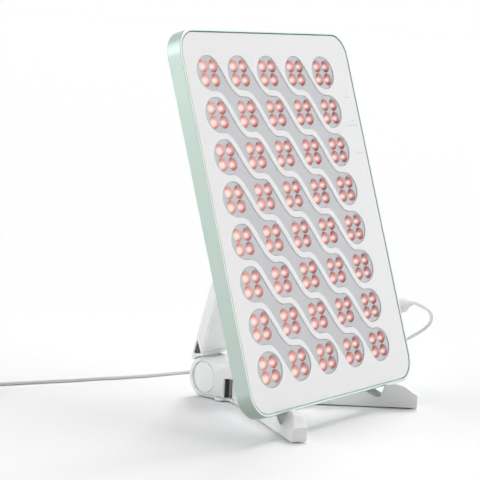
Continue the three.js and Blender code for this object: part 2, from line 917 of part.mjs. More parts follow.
const shaft = rod(shaftRadius, -shaftHalf, shaftHalf, "x");
piece(stand, "hinge_shaft", shaft.translate(0, hingeY, hingeZ), metal);

// Rubber pads under the hinge block
{
  const rearPad = block(
    -basePadWidth / 2,
    basePadWidth / 2,
    hingeY - basePadLength / 2,
    hingeY + basePadLength / 2,
    0,
    padThickness,
  );
  piece(stand, "base_pad_rear", rearPad, rubber);
  const frontPad = rearPad.clone().translate(0, legPinY - hingeY, 0);
  piece(stand, "base_pad_front", frontPad, rubber);
}

// Where the back of the panel is: a point some way up it and some way behind it
const leanSin = Math.sin(rad(panelLean));
const leanCos = Math.cos(rad(panelLean));
const backFootY = panelDepth * leanCos;
const backFootZ = faceFootHeight - panelDepth * leanSin;
const behindPanel = (up, behind) => [
  backFootY + up * leanSin + behind * leanCos,
  backFootZ + up * leanCos - behind * leanSin,
];

// Legs: a bar from its pin to a raised toe, with a notch that the panel's lower edge stands in
function legGeometry(side) {
  const legFloor = plateBottom;
  const legTop = backFootZ - gap;
  const toeY = -legReach;
  const toe = toeRunShares.map((run, i) => [
    toeY + toeLength * run,
    legFloor + (toeHeight - legFloor) * toeRiseShares[i],
  ]);
  const lipEnd = toeY + legWidth + toeLength;
  const barView = outline([
    [toeY, legFloor],
    [0, legFloor],
    [0, legHeight],
    [-legFullReach, legHeight],
    [-legSlopeReach, legTop],
    [lipEnd, legTop],
    [lipEnd, toe[toe.length - 1][1]],
    ...toe.reverse(),
  ]);
  const bar = acrossFrom(barView, -legWidth / 2, legWidth / 2);
  const knuckle = rod(legWidth / 2, plateTop + gap, legHeight, "z", 24);
  const hole = rod(legPinRadius + gap, 0, legHeight + overrun, "z", 16);
  const undercut = rod(legUndercut, 0, plateTop + gap, "z", 20);
  const notch = outline([
    [notchFrontY, toeHeight + overrun],
    [notchFrontY, toeHeight - ledgeThickness],
    [notchFrontY + notchFrontRun, notchFloor],
    [notchFrontY + notchFrontRun + notchFlat, notchFloor],
    [notchFrontY + notchFrontRun + notchFlat + notchRearRun, notchFloor + notchRearRise],
    [backFootY, legTop],
    [backFootY + overrun, legTop],
    [backFootY + overrun, toeHeight + overrun],
  ]);
  const groove = acrossFrom(notch, -legReach, legReach);
  groove.translate(-side * legPinX, -legPinY, 0);
  groove.rotateZ(-side * rad(legSpread));
  const outer = (side * legWidth) / 2;
  const rise = toeHeight - toeBevelLow;
  const bevelView = outline([
    [outer, toeBevelLow],
    [outer + side * overrun, toeBevelLow],
    [outer + side * overrun, toeHeight + rise],
    [outer - side * 2 * toeBevelReach, toeHeight + rise],
  ]);
  const bevel = backFrom(bevelView, toeY - overrun, toeY + toeBevelRun);
  return carve([bar, knuckle], [undercut, hole, groove, bevel]);
}

for (const side of [-1, 1]) {
  const name = side < 0 ? "left" : "right";
  const leg = new THREE.Group();
  leg.position.set(side * legPinX, legPinY, 0);
  leg.rotation.z = side * rad(legSpread);
  stand.add(leg);
  piece(leg, `${name}_leg`, legGeometry(side), white);
  const pad = block(
    -legPadWidth / 2,
    legPadWidth / 2,
    -legReach + legPadInset,
    -legReach + legPadInset + legPadLength,
    0,
    padThickness,
  );
  piece(leg, `${name}_foot_pad`, pad, rubber);
}

// Support arm, leaning forward against the back of the panel
const arm = new THREE.Group();
arm.position.set(0, hingeY, hingeZ);
arm.rotation.x = rad(armLean);
stand.add(arm);

const armSin = Math.sin(rad(armLean));
const armCos = Math.cos(rad(armLean));
const toArm = ([y, z]) => [
  (y - hingeY) * armCos + (z - hingeZ) * armSin,
  -(y - hingeY) * armSin + (z - hingeZ) * armCos,
];

// The arm's half width narrows from front to rear.
const armHalf = (v, inset = 0) =>
  armFrontHalf - ((armFrontHalf - armRearHalf) * (v - armFrontV)) / (armRearV - armFrontV) - inset;

function armSection(front, rear, inset) {
  return outline([
    [-armHalf(front, inset), front],
    [armHalf(front, inset), front],
    [armHalf(rear, inset), rear],
    [-armHalf(rear, inset), rear],
  ]);
}

// Everything ahead of a plane that lies parallel to the panel's back, so far behind it
function aheadOf(behind) {
  const low = toArm(behindPanel(0, behind));
  const high = toArm(behindPanel(panelHeight, behind));
  const lowFront = toArm(behindPanel(0, behind - panelHeight));
  const highFront = toArm(behindPanel(panelHeight, behind - panelHeight));
  return acrossFrom(outline([low, high, highFront, lowFront]), -panelWidth, panelWidth);
}

function windowView(share) {
  const corners = [windowFront, windowRear, windowApex];
  const middleV = (windowFront[0] + windowRear[0] + windowApex[0]) / 3;
  const middleT = (windowFront[1] + windowRear[1] + windowApex[1]) / 3;
  const drawnIn = ([v, t]) => [
    middleV + (v - middleV) * share,
    middleT + (t - middleT) * share,
  ];
  return outline(corners.map(drawnIn));
}

const armPadFrontGap = gap;
const armTopBehind = armPadFrontGap + armPadThickness + gap;
const windowInner = armFrontHalf - windowDepth;

{
  const shellFront = armFrontV + armCover + gap;
  const shell = upFrom(armSection(shellFront, armRearV, 0), 0, armTopT);
  const collar = upFrom(armSection(armFrontV, shellFront + bite, 0), 0, armCollarT);
  const hollow = armSection(shellFront - overrun, armRearV - armWall, armWall);
  const pocket = upFrom(hollow, armSolidT, armHeadT);
  const reach = armFrontHalf + overrun;
  const grooveRound = rod(barrelRadius + armGroove, -reach, reach, "x", 48);
  const underHeel = block(-reach, reach, barrelRadius / 2, 2 * armRearV, -overrun, armHeelT);
  const windows = [
    acrossFrom(windowView(1), windowInner, reach),
    acrossFrom(windowView(1), -reach, -windowInner),
  ];
  const cuts = [pocket, grooveRound, underHeel, aheadOf(armTopBehind), ...windows];
  const outer = carve([shell, collar], cuts);
  const knuckle = rod(knuckleRadius, -knuckleHalf, knuckleHalf, "x", 30);
  const neck = block(-knuckleHalf, knuckleHalf, neckFrontV, neckRearV, neckLowT, armCollarT);
  const hole = rod(shaftRadius + gap, -knuckleHalf - overrun, knuckleHalf + overrun, "x");
  piece(arm, "support_arm", carve([outer, knuckle, neck], [hole]), white);
}

// Flat cover on the arm's front
{
  const plate = upFrom(armSection(armFrontV, armFrontV + armCover, 0), armCollarT + gap, armTopT);
  piece(arm, "arm_front_cover", carve([plate], [aheadOf(armTopBehind)]), white);
}

// Dark inserts in the two side windows, sunk below the wall
for (const side of [-1, 1]) {
  const name = side < 0 ? "left" : "right";
  const inner = windowInner + gap;
  const prism =
    side > 0
      ? acrossFrom(windowView(insertShare), inner, armFrontHalf)
      : acrossFrom(windowView(insertShare), -armFrontHalf, -inner);
  const wall = upFrom(armSection(armFrontV, armRearV, insertSink), 0, armSolidT);
  piece(arm, `arm_insert_${name}`, shared([prism, wall]), dark);
}

// Rubber pad on the arm's slanted top, against the panel's back
{
  const behindFront = armPadFrontGap;
  const behindBack = armPadFrontGap + armPadThickness;
  const along = (v, behind) => {
    const low = toArm(behindPanel(0, behind));
    const high = toArm(behindPanel(panelHeight, behind));
    const share = (v - low[0]) / (high[0] - low[0]);
    return [v, low[1] + share * (high[1] - low[1])];
  };
  const view = outline([
    along(armPadFrontV, behindBack),
    along(armPadRearV, behindBack),
    along(armPadRearV, behindFront),
    along(armPadFrontV, behindFront),
  ]);
  piece(arm, "arm_pad", acrossFrom(view, -armPadHalf, armPadHalf), rubber);
}

// Plug in the socket, on the panel's frame of reference
const leadPanel = leaningGroup();
lead.add(leadPanel);
const plugStart = halfWidth + gap;
const plugEnd = plugStart + plugLength;
{
  const plug = turned(
    [
      [0, wallInside - plugTipLength],
      [plugTipRadius, wallInside - plugTipLength],
      [plugTipRadius, plugStart],
      [plugRadius, plugStart],
      [plugRadius, plugEnd - plugShoulder],
      [plugRadius * plugWaistShare, plugEnd],
      [0, plugEnd],
    ],
    "x",
    20,
  );
  piece(leadPanel, "dc_plug", plug.translate(0, jackMiddle, jackUp), leadWhite);
  const relief = turned(
    [
      [0, plugEnd + gap],
      [reliefRootRadius, plugEnd + gap],
      [reliefEndRadius, plugEnd + plugReliefLength],
      [0, plugEnd + plugReliefLength],
    ],
    "x",
    12,
  );
  piece(leadPanel, "plug_strain_relief", relief.translate(0, jackMiddle, jackUp), leadWhite);
}

// A round tube along a curve
function tube(curve, diameter, sides, steps) {
  const section = [];
  for (let i = 0; i < sides; i++) {
    const angle = (2 * Math.PI * i) / sides;
    section.push([(diameter / 2) * Math.cos(angle), (diameter / 2) * Math.sin(angle)]);
  }
  return new THREE.ExtrudeGeometry(outline(section), { steps, bevelEnabled: false, extrudePath: curve });
}

// Spare lead: a spiral that runs in and out again, layer on layer, with a straight end each way
const coilTurnsPerLayer = coilTurns / coilLayers;
const coilFloor = tieThickness + gap + cordDiameter / 2;

class Coil extends THREE.Curve {
  constructor() {
    super();
    this.turnLength = 2 * Math.PI * (coilOuterRadius - (coilPitch * coilTurnsPerLayer) / 2);
    this.straightShare = cordDiameter / (this.turnLength * coilTurns + 2 * cordDiameter);
  }

  // A point after so many turns
  along(turns) {
    const angle = rad(coilStartAngle) + 2 * Math.PI * turns;
    const layer = Math.min(coilLayers - 1, Math.floor(turns / coilTurnsPerLayer));
    const within = turns - layer * coilTurnsPerLayer;
    const inward = layer % 2 === 0 ? within : coilTurnsPerLayer - within;
    const radius = coilOuterRadius - coilPitch * inward;
    const nearest = Math.round(turns / coilTurnsPerLayer);
    const climbing = nearest > 0 && nearest < coilLayers;
    const reach = (turns - nearest * coilTurnsPerLayer) / coilClimbTurns + 1 / 2;
    const step = THREE.MathUtils.smootherstep(reach, 0, 1);
    const height = climbing && reach > 0 && reach < 1 ? nearest - 1 + step : layer;
    return new THREE.Vector3(
      coilX + radius * Math.cos(angle),
      coilY + radius * Math.sin(angle),
      coilFloor + coilPitch * height,
    );
  }

  heading(turns) {
    const angle = rad(coilStartAngle) + 2 * Math.PI * turns;
    return new THREE.Vector3(-Math.sin(angle), Math.cos(angle), 0);
  }

  getPoint(share, target = new THREE.Vector3()) {
    const end = this.straightShare;
    if (share < end) {
      const back = cordDiameter * (1 - share / end);
      return target.copy(this.along(0)).addScaledVector(this.heading(0), -back);
    }
    if (share > 1 - end) {
      const on = cordDiameter * (1 - (1 - share) / end);
      return target.copy(this.along(coilTurns)).addScaledVector(this.heading(coilTurns), on);
    }
    return target.copy(this.along((coilTurns * (share - end)) / (1 - 2 * end)));
  }
}

const coil = new Coil();
const coilEntry = coil.getPoint(0);
const coilExit = coil.getPoint(1);
{
  const steps = Math.round(coilTurns * coilStepsPerTurn);
  piece(lead, "cord_coil", tube(coil, cordDiameter, coilSides, steps), leadWhite);
  // The least gap of the coil to itself, between points half a turn or more apart
  const samples = coil.getSpacedPoints(steps * 4);
  const apart = 2 * coilStepsPerTurn;
  let least = Infinity;
  for (let i = 0; i < samples.length; i++)
    for (let j = i + apart; j < samples.length; j++)
      least = Math.min(least, samples[i].distanceTo(samples[j]));
  console.log(`coil: least gap to itself ${(least - cordDiameter).toFixed(2)} mm`);
  console.log(`coil: length ${coil.getLength().toFixed(0)} mm`);
}

// Free lead from the strain relief to the coil
{
  const points = cordRoute.map(([x, y, z]) => new THREE.Vector3(x, y, z));
  const start = new THREE.Vector3(plugEnd + plugReliefLength + gap, jackMiddle, jackUp);
  lamp.updateMatrixWorld(true);
  start.applyMatrix4(leadPanel.matrixWorld);
  points[0] = start;
  const heading = coil.heading(0);
  const end = coilEntry.clone().addScaledVector(heading, -gap);
  points.push(end.clone().addScaledVector(heading, -cordDiameter), end);
  const curve = new THREE.CatmullRomCurve3(points);
  curve.arcLengthDivisions = 1200;
  piece(lead, "power_cord", tube(curve, cordDiameter, cordSides, cordSteps), leadWhite);
  console.log(`lead: free length ${curve.getLength().toFixed(0)} mm`);
}

// Tie round the coil
{
  const inner = coilOuterRadius - coilPitch * coilTurnsPerLayer - cordDiameter / 2 - gap;
  const outer = coilOuterRadius + cordDiameter / 2 + gap;
  const low = tieThickness;
  const high = coilFloor + coilPitch * (coilLayers - 1) + cordDiameter / 2 + gap;
  const half = tieWidth / 2;
  const start = inner - tieThickness;
  const band = carve(
    [block(start, outer + tieThickness, -half, half, 0, high + tieThickness)],
    [block(inner, outer, -half - overrun, half + overrun, low, high)],
  );
  band.rotateZ(rad(tieAngle));
  piece(lead, "coil_tie", band.translate(coilX, coilY, 0), dark);
}

// Mains adapter that the lead ends in
{
  const axis = coilExit.z;
  const reliefStart = coilExit.x - gap;
  const reliefEnd = reliefStart - adapterReliefLength;
  const relief = turned(
    [
      [0, -reliefStart],
      [reliefEndRadius, -reliefStart],
      [reliefRootRadius, -reliefEnd],
      [0, -reliefEnd],
    ],
    "x",
    12,
  );
  relief.rotateZ(Math.PI);
  piece(lead, "adapter_strain_relief", relief.translate(0, coilExit.y, axis), leadWhite);
  const bodyEnd = reliefEnd - gap;
  const middle = bodyEnd - adapterLength / 2;
  const plan = roundedRectangle(adapterLength, adapterWidth, adapterCorner, middle, coilExit.y);
  const bodyStart = bodyEnd - adapterLength;
  const slot = (side, clearance, reach) =>
    block(
      bodyStart - reach,
      bodyStart + bladeSeat,
      coilExit.y + (side * bladeSpacing) / 2 - bladeThickness / 2 - clearance,
      coilExit.y + (side * bladeSpacing) / 2 + bladeThickness / 2 + clearance,
      axis - bladeWidth / 2 - clearance,
      axis + bladeWidth / 2 + clearance,
    );
  const slots = [-1, 1].map((side) => slot(side, gap, overrun));
  const body = carve([upFrom(plan, 0, 2 * axis, 5)], slots);
  piece(lead, "adapter_body", body, leadWhite);
  for (const side of [-1, 1]) {
    const name = side < 0 ? "left" : "right";
    const blade = slot(side, 0, bladeLength);
    blade.translate(-gap, 0, 0);
    piece(lead, `adapter_blade_${name}`, blade, metal);
  }
}

// The origin is under the middle of the lamp without its lead
lamp.updateMatrixWorld(true);
const bounds = new THREE.Box3().setFromObject(stand, true);
const middleY = (bounds.min.y + bounds.max.y) / 2;
for (const part of [stand, lead]) part.position.y = -middleY;
console.log(`shift along Y ${(-middleY).toFixed(3)} mm`);

export default lamp;
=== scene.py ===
# %% [markdown]
# # A red light panel on its folding stand
# The real object is a thin panel with forty clusters of red lenses. A mint metal band runs round
# it, and it leans on a white folding stand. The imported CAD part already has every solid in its
# place, so this lesson adds what the eye looks for: rounded edges, smooth curves and finishes.
# Lengths are written in millimetres, as on a drawing, and turned to metres when a piece is placed.

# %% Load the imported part
import math

import bmesh
import bpy
import numpy as np
from mathutils import Matrix, Vector


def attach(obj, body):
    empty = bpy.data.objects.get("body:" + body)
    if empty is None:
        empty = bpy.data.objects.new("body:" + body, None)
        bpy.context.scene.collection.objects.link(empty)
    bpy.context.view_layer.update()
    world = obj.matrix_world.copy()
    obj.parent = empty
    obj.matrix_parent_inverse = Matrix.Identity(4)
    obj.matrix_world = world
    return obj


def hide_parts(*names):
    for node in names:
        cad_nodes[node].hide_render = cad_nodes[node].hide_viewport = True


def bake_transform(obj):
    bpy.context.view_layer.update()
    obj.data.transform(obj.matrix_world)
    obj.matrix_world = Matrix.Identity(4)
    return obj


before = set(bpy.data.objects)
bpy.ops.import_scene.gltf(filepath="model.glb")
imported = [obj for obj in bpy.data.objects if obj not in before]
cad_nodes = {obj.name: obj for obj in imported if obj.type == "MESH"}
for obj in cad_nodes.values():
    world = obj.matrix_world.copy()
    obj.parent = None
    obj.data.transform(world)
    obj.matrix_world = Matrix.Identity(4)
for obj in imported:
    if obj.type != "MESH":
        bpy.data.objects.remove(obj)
bpy.context.view_layer.update()
MM = 0.001

# %% [markdown]
# ## The camera
# The picture was taken with a long lens from the front left, a little above the panel's middle.
# The place, the turn and the focal length were worked out from the grid of lenses, which is a
# regular pattern, so its perspective tells where the camera stood. The turn is given by the
# camera's own three axes, because the picture is also rolled by a degree or two.

# %% Camera
CAMERA_RIGHT = (0.58171263, -0.81214296, 0.04510242)
CAMERA_UP = (0.0760048, 0.10947951, 0.99107896)
CAMERA_BACK = (-0.80983559, -0.57309515, 0.12541238)
CAMERA_PLACE = (-1.22919, -0.822884, 0.328183)
FOCAL_LENGTH, SENSOR_WIDTH = 134.577, 36.0


def linked(name, data):
    """A new object for this data, in the scene."""
    made = bpy.data.objects.new(name, data)
    bpy.context.scene.collection.objects.link(made)
    return made


camera = linked("camera", bpy.data.cameras.new("camera"))
turn = Matrix((CAMERA_RIGHT, CAMERA_UP, CAMERA_BACK)).transposed().to_4x4()
camera.matrix_world = Matrix.Translation(CAMERA_PLACE) @ turn
camera.data.lens, camera.data.sensor_width = FOCAL_LENGTH, SENSOR_WIDTH
camera.data.clip_start, camera.data.clip_end = 0.05, 100.0
bpy.context.scene.camera = camera
bpy.context.scene.view_settings.view_transform = "Standard"
print("camera:", FOCAL_LENGTH, "mm lens at", CAMERA_PLACE)

# %% [markdown]
# ## Frames of reference
# Each piece is drawn in millimetres where that is easiest, and a matrix takes it to its place
# in the room, in metres. On the table, the origin lies under the panel's foot. On the panel, X
# runs right, Y is the depth behind the face and Z runs up the face, which leans back. A copy
# of a CAD solid is in its place already, so it only needs its millimetres turned to metres.

# %% Room, table and panel
FOOT_BEHIND, FOOT_HEIGHT, LEAN_BACK = -60.925, 18.9, 17.3
IN_ROOM = Matrix.Scale(MM, 4)


def standing(height, degrees):
    """The frame of reference at this height over the panel's foot, leaning back so far."""
    place = Matrix.Translation((0, FOOT_BEHIND * MM, height * MM))
    return place @ Matrix.Rotation(math.radians(-degrees), 4, "X") @ IN_ROOM


ON_TABLE, ON_PANEL = standing(0, 0), standing(FOOT_HEIGHT, LEAN_BACK)
print("panel foot at", [round(v, 4) for v in ON_PANEL.translation])

# %% [markdown]
# ## Making a piece
# Every piece ends the same way. Its mesh is moved to its place in the room, its object stays at
# the origin, it gets its finish, and it rides on a body of the CAD part. Where it stands for
# CAD nodes, these are hidden. Sharp corners are found by their angle, and the normals are
# weighted by area, so that wide flat faces stay flat and only the rounded edges shade.

# %% Meshes and modifiers
WELD_DISTANCE = 1e-3


def welded(mesh, distance):
    """The mesh as an editable shape, with points closer than this merged."""
    shape = bmesh.new()
    shape.from_mesh(mesh)
    bmesh.ops.remove_doubles(shape, verts=shape.verts, dist=distance)
    return shape


def written(shape, mesh):
    """Puts an edited shape back in its mesh."""
    shape.to_mesh(mesh)
    shape.free()
    return mesh


def tidied(name, vertices, faces):
    """A mesh in millimetres with its doubles merged and its faces pointing outwards."""
    mesh = bpy.data.meshes.new(name)
    mesh.from_pydata(vertices, [], faces)
    shape = welded(mesh, WELD_DISTANCE)
    bmesh.ops.recalc_face_normals(shape, faces=shape.faces)
    return written(shape, mesh)


def modified(piece, kind, **settings):
    """Adds a modifier of this kind to the piece and sets it up."""
    modifier = piece.modifiers.new(kind.lower(), kind)
    for key, value in settings.items():
        setattr(modifier, key, value)
    return piece


def mesh_shown(drawn):
    """What an object shows, with its modifiers or as a filled curve, as a new plain mesh."""
    graph = bpy.context.evaluated_depsgraph_get()
    return bpy.data.meshes.new_from_object(drawn.evaluated_get(graph))


def applied(piece):
    """Turns what the modifiers show into the piece's own plain mesh."""
    made = mesh_shown(piece)
    piece.modifiers.clear()
    piece.data = made
    return piece


print("doubles closer than", WELD_DISTANCE, "mm are merged")


# %% Joining, carving and moving
def removed(*helpers):
    """Takes objects that were only needed to make others out of the scene."""
    for helper in helpers:
        bpy.data.objects.remove(helper)


def joined(piece, *others):
    """One object with the meshes of all, kept as separate shells."""
    shape = bmesh.new()
    for part in (piece, *others):
        shape.from_mesh(part.data)
    written(shape, piece.data)
    removed(*others)
    return piece


def carved(piece, *cutters):
    """The piece with the cutters' room taken away."""
    for cutter in cutters:
        applied(modified(piece, "BOOLEAN", operation="DIFFERENCE", solver="EXACT", object=cutter))
    removed(*cutters)
    return piece


def moved(piece, x=0.0, y=0.0, z=0.0):
    """The piece with its mesh moved by so many millimetres."""
    piece.data.transform(Matrix.Translation((x, y, z)))
    return piece


# %% Finishing a piece
SHARP, SHARP_TURNED, SHARP_SOFT = 38.0, 50.0, 60.0
finishes = {}


def shaded(mesh, sharp_degrees):
    """Smooth shading that still breaks where faces meet at more than this angle."""
    mesh.shade_smooth()
    mesh.set_sharp_from_angle(angle=math.radians(sharp_degrees))


def placed(piece, place, body, finish, replaces=(), sharp_degrees=SHARP):
    """Moves the mesh to its place, gives it its finish and lets it ride on its body."""
    piece.data.transform(place)
    shaded(piece.data, sharp_degrees)
    applied(modified(piece, "WEIGHTED_NORMAL", keep_sharp=True))
    piece.data.materials.clear()
    piece.data.materials.append(finishes[finish])
    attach(piece, body)
    if replaces:
        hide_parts(*replaces)
    triangles = sum(len(p.vertices) - 2 for p in piece.data.polygons)
    print(f"{piece.name}: {triangles} triangles, on {body}, {finishes[finish].name}")


print("corners over", SHARP, "degrees stay sharp, on round pieces over", SHARP_TURNED)

# %% [markdown]
# ## The lead comes first
# A thin white lead leaves a moulded plug in the panel's right edge, falls in one loop to the
# table, runs behind the stand and out of the picture on the left. What the picture doesn't show
# is wound into a small coil just outside the view, and ends in a generic mains adapter. A curve
# through points is smooth but hard to hold to a length, so the CAD route's points and kind of
# spline are used again. Only the loop is moved, by up to 3 mm, to swing as wide as the real one.

# %% Route of the lead
CORD_DIAMETER, CORD_GAP = 3.0, 0.3
JACK_DEPTH, JACK_UP = 7.7, 64.3
PLUG_START, PLUG_END, PLUG_RELIEF_END = 121.7, 140.7, 153.7
relief_tip = ON_PANEL @ Vector((PLUG_RELIEF_END + CORD_GAP, JACK_DEPTH, JACK_UP))
LEAD_ROUTE = [
    tuple(ON_TABLE.inverted() @ relief_tip), (158, 26.2, 77.9), (166.5, 26.4, 75.4),
    (182.2, 28, 70.4), (194, 29.5, 65.4), (201, 31.2, 60), (203.3, 32.9, 55),
    (202.4, 35.3, 50.6), (198.3, 40.2, 45.1), (192, 49.6, 37.8), (186, 62, 28.5),
    (181, 76, 18.5), (173, 94, 9.5), (160, 115, 4), (141, 139, 1.6), (116, 164, 1.5),
    (88, 186, 1.5), (58, 202.5, 1.5), (21, 215.3, 1.5), (-5, 227, 1.5), (-23, 236.7, 1.5),
    (-43, 246.5, 1.5), (-66, 258.9, 1.5), (-86, 269.7, 1.5), (-105.2, 280, 1.5),
    (-120, 288.9, 1.9),
]
FIRST_ON_TABLE, ROUTE_STEP = 14, 2.5
print("the lead leaves the plug at", [round(v, 1) for v in LEAD_ROUTE[0]])

# %% The coil: four layers that wind in and out
COIL_CENTRE = (-152.0, 283.0)
COIL_START, COIL_TURNS, COIL_LAYERS = math.radians(60), 9 + 1 / 12, 4
COIL_RADIUS, COIL_PITCH, COIL_FLOOR, COIL_CLIMB = 21.5, 3.5, 2.4, 0.5
TURNS_A_LAYER = COIL_TURNS / COIL_LAYERS
POINTS_A_TURN = 40


def coil_point(turns):
    """Where the wound lead is after so many turns. It climbs smoothly between the layers."""
    angle = COIL_START + 2 * math.pi * turns
    layer = min(COIL_LAYERS - 1, math.floor(turns / TURNS_A_LAYER))
    within = turns - layer * TURNS_A_LAYER
    inward = within if layer % 2 == 0 else TURNS_A_LAYER - within
    radius = COIL_RADIUS - COIL_PITCH * inward
    nearest = round(turns / TURNS_A_LAYER)
    reach = (turns - nearest * TURNS_A_LAYER) / COIL_CLIMB + 0.5
    height = layer
    if 0 < nearest < COIL_LAYERS and 0 < reach < 1:
        height = nearest - 1 + reach**3 * (reach * (6 * reach - 15) + 10)
    x, y = COIL_CENTRE
    across, aside = radius * math.cos(angle), radius * math.sin(angle)
    return np.array((x + across, y + aside, COIL_FLOOR + COIL_PITCH * height))


def coil_heading(turns):
    """Which way the wound lead runs there."""
    angle = COIL_START + 2 * math.pi * turns
    return np.array((-math.sin(angle), math.cos(angle), 0.0))


coil_entry = coil_point(0) - coil_heading(0) * CORD_DIAMETER
coil_exit = coil_point(COIL_TURNS) + coil_heading(COIL_TURNS) * CORD_DIAMETER
print("coil: from", coil_entry.round(1), "to", coil_exit.round(1))


# %% One path for the whole lead
def through(points, step):
    """A centripetal spline through the points, sampled about every step."""
    points = [np.array(p, float) for p in points]
    points = [2 * points[0] - points[1], *points, 2 * points[-1] - points[-2]]
    path = []
    for a, b, c, d in zip(points, points[1:], points[2:], points[3:], strict=False):
        ab, bc, cd = (math.sqrt(np.linalg.norm(q - p)) for p, q in ((a, b), (b, c), (c, d)))
        leave = ((b - a) / ab - (c - a) / (ab + bc) + (c - b) / bc) * bc
        arrive = ((c - b) / bc - (d - b) / (bc + cd) + (d - c) / cd) * bc
        square, cube = 3 * (c - b) - 2 * leave - arrive, 2 * (b - c) + leave + arrive
        count = max(1, round(np.linalg.norm(c - b) / step))
        for t in (i / count for i in range(count)):
            path.append(b + leave * t + square * t**2 + cube * t**3)
    return [*path, points[-2]]


lead_path = through([*LEAD_ROUTE, coil_entry - coil_heading(0) * CORD_GAP], ROUTE_STEP)
turns_sampled = np.linspace(0, COIL_TURNS, round(COIL_TURNS * POINTS_A_TURN) + 1)
lead_path += [coil_entry, *[coil_point(t) for t in turns_sampled], coil_exit]
lead_path = [ON_TABLE @ Vector(p) for p in lead_path]

# %% [markdown]
# ### The tube round that route
# A bevelled curve would do, but this lead bends where the panel leans back, and only a mesh can
# bend. So a ring of points is carried along the path. Each ring is turned as little as possible
# from the one before, which keeps the skin of the lead from twisting.


# %% Tube
def ring_faces(rings, sides, closed=False):
    """Faces between rings of points, and from the last ring to the first if closed."""
    faces = []
    for ring in range(rings if closed else rings - 1):
        here, there = ring * sides, (ring + 1) % rings * sides
        for k in range(sides):
            beside = (k + 1) % sides
            faces.append((here + k, here + beside, there + beside, there + k))
    return faces


def tube(name, path, diameter, sides=12):
    """A closed round tube along the path, in metres."""
    ahead = [(b - a).normalized() for a, b in zip(path, path[1:], strict=False)]
    ahead.append(ahead[-1])
    heading = ahead[0]
    aside = heading.orthogonal().normalized()
    vertices = []
    for i, point in enumerate(path):
        middle = (ahead[max(0, i - 1)] + ahead[i]).normalized()
        aside = heading.rotation_difference(middle) @ aside
        heading = middle
        across = heading.cross(aside)
        for k in range(sides):
            angle = 2 * math.pi * k / sides
            out = aside * math.cos(angle) + across * math.sin(angle)
            vertices.append(point + out * diameter / 2)
    last_ring = (len(path) - 1) * sides
    faces = ring_faces(len(path), sides)
    faces += [tuple(range(sides))[::-1], tuple(last_ring + k for k in range(sides))]
    mesh = bpy.data.meshes.new(name)
    mesh.from_pydata(vertices, [], faces)
    shaded(mesh, SHARP_SOFT)
    return linked(name, mesh)


lead = tube("lead", lead_path, CORD_DIAMETER * MM)
print("lead:", len(lead.data.vertices), "points on its skin")

# %% [markdown]
# ## Finishes
# A colour is written as on a screen, in sRGB hex, and one function turns it to the linear
# numbers that a shader wants. Another adds a node with its settings and links. Most moulded
# pieces share one plan: a fine grain lifts the surface, a broad cloud shifts the colour by a
# hair, and the grain also varies the gloss. The grain's real size is given in millimetres.

# %% Colour and node
MATH, MIX, NOISE = "ShaderNodeMath", "ShaderNodeMix", "ShaderNodeTexNoise"
TEXTURE_PLACE = "ShaderNodeTexCoord"


def linear(hex_text):
    """An sRGB hex colour as linear red, green, blue and alpha."""
    parts = [int(hex_text[i : i + 2], 16) / 255 for i in (0, 2, 4)]
    return (*[p / 12.92 if p <= 0.04045 else ((p + 0.055) / 1.055) ** 2.4 for p in parts], 1.0)


def add(tree, kind, inputs=None, **settings):
    """Adds a node, sets it up, and gives each input its value or a link."""
    node = tree.nodes.new(kind)
    for key, value in settings.items():
        setattr(node, key, value)
    for key, value in (inputs or {}).items():
        if isinstance(value, bpy.types.NodeSocket):
            tree.links.new(value, node.inputs[key])
        else:
            node.inputs[key].default_value = value
    return node


print("half grey 808080 is", round(linear("808080")[0], 3), "in linear light")

# %% Materials with a grain
CLOUD_WIDTH = 33.3
NOISE_LOW, NOISE_HIGH = 0.3, 0.7


def started(name, **sockets):
    """A new material, its tree and its shader, with plain values set on the shader."""
    material = bpy.data.materials.new(name)
    material.use_nodes = True
    tree = material.node_tree
    shader = tree.nodes["Principled BSDF"]
    for key, value in sockets.items():
        shader.inputs[key.replace("_", " ")].default_value = value
    return material, tree, shader


def grained(name, pale, deep, grain_mm, lift_mm, gloss, stretch=(1.0, 1.0, 1.0), **sockets):
    """A moulded or blasted surface: fine grain in its height and gloss, a cloud in its colour."""
    material, tree, shader = started(name, **sockets)
    place = add(tree, TEXTURE_PLACE).outputs["Object"]
    drawn = add(tree, "ShaderNodeMapping", {"Vector": place, "Scale": stretch})
    fine = {"Scale": 1 / (grain_mm * MM), "Detail": 2.0, "Roughness": 0.6}
    grain = add(tree, NOISE, {"Vector": drawn.outputs[0], **fine}).outputs[0]
    cloud = add(tree, NOISE, {"Vector": place, "Scale": 1 / (CLOUD_WIDTH * MM)})
    colours = {0: cloud.outputs[0], 6: linear(pale), 7: linear(deep)}
    tint = add(tree, MIX, colours, data_type="RGBA")
    spread = {"From Min": NOISE_LOW, "From Max": NOISE_HIGH}
    spread |= {"To Min": gloss[0], "To Max": gloss[1]}
    sheen = add(tree, "ShaderNodeMapRange", {"Value": grain, **spread})
    height = {"Height": grain, "Distance": lift_mm * MM, "Strength": 1.0}
    lift = add(tree, "ShaderNodeBump", height)
    tree.links.new(tint.outputs[2], shader.inputs["Base Color"])
    tree.links.new(sheen.outputs[0], shader.inputs["Roughness"])
    tree.links.new(lift.outputs[0], shader.inputs["Normal"])
    return material


print("clouds in a colour are about", CLOUD_WIDTH, "mm wide")

# %% [markdown]
# ### White plastics
# The stand and the rear cover are injection-moulded ABS with a fine spark-eroded texture: matt
# white, a soft broad highlight, and a surface that isn't quite even. The real texture is about
# 0.1 mm wide, too fine to show here, so it is drawn at 0.5 mm. The face is the same plastic,
# moulded in a smoother tool, so its grain is lower and its gloss a little higher. The lead and
# its reliefs are PVC, softer to the eye and a shade greyer, with a slow ripple instead of a
# grain. The adapter is moulded polycarbonate with a coarse, dull texture.

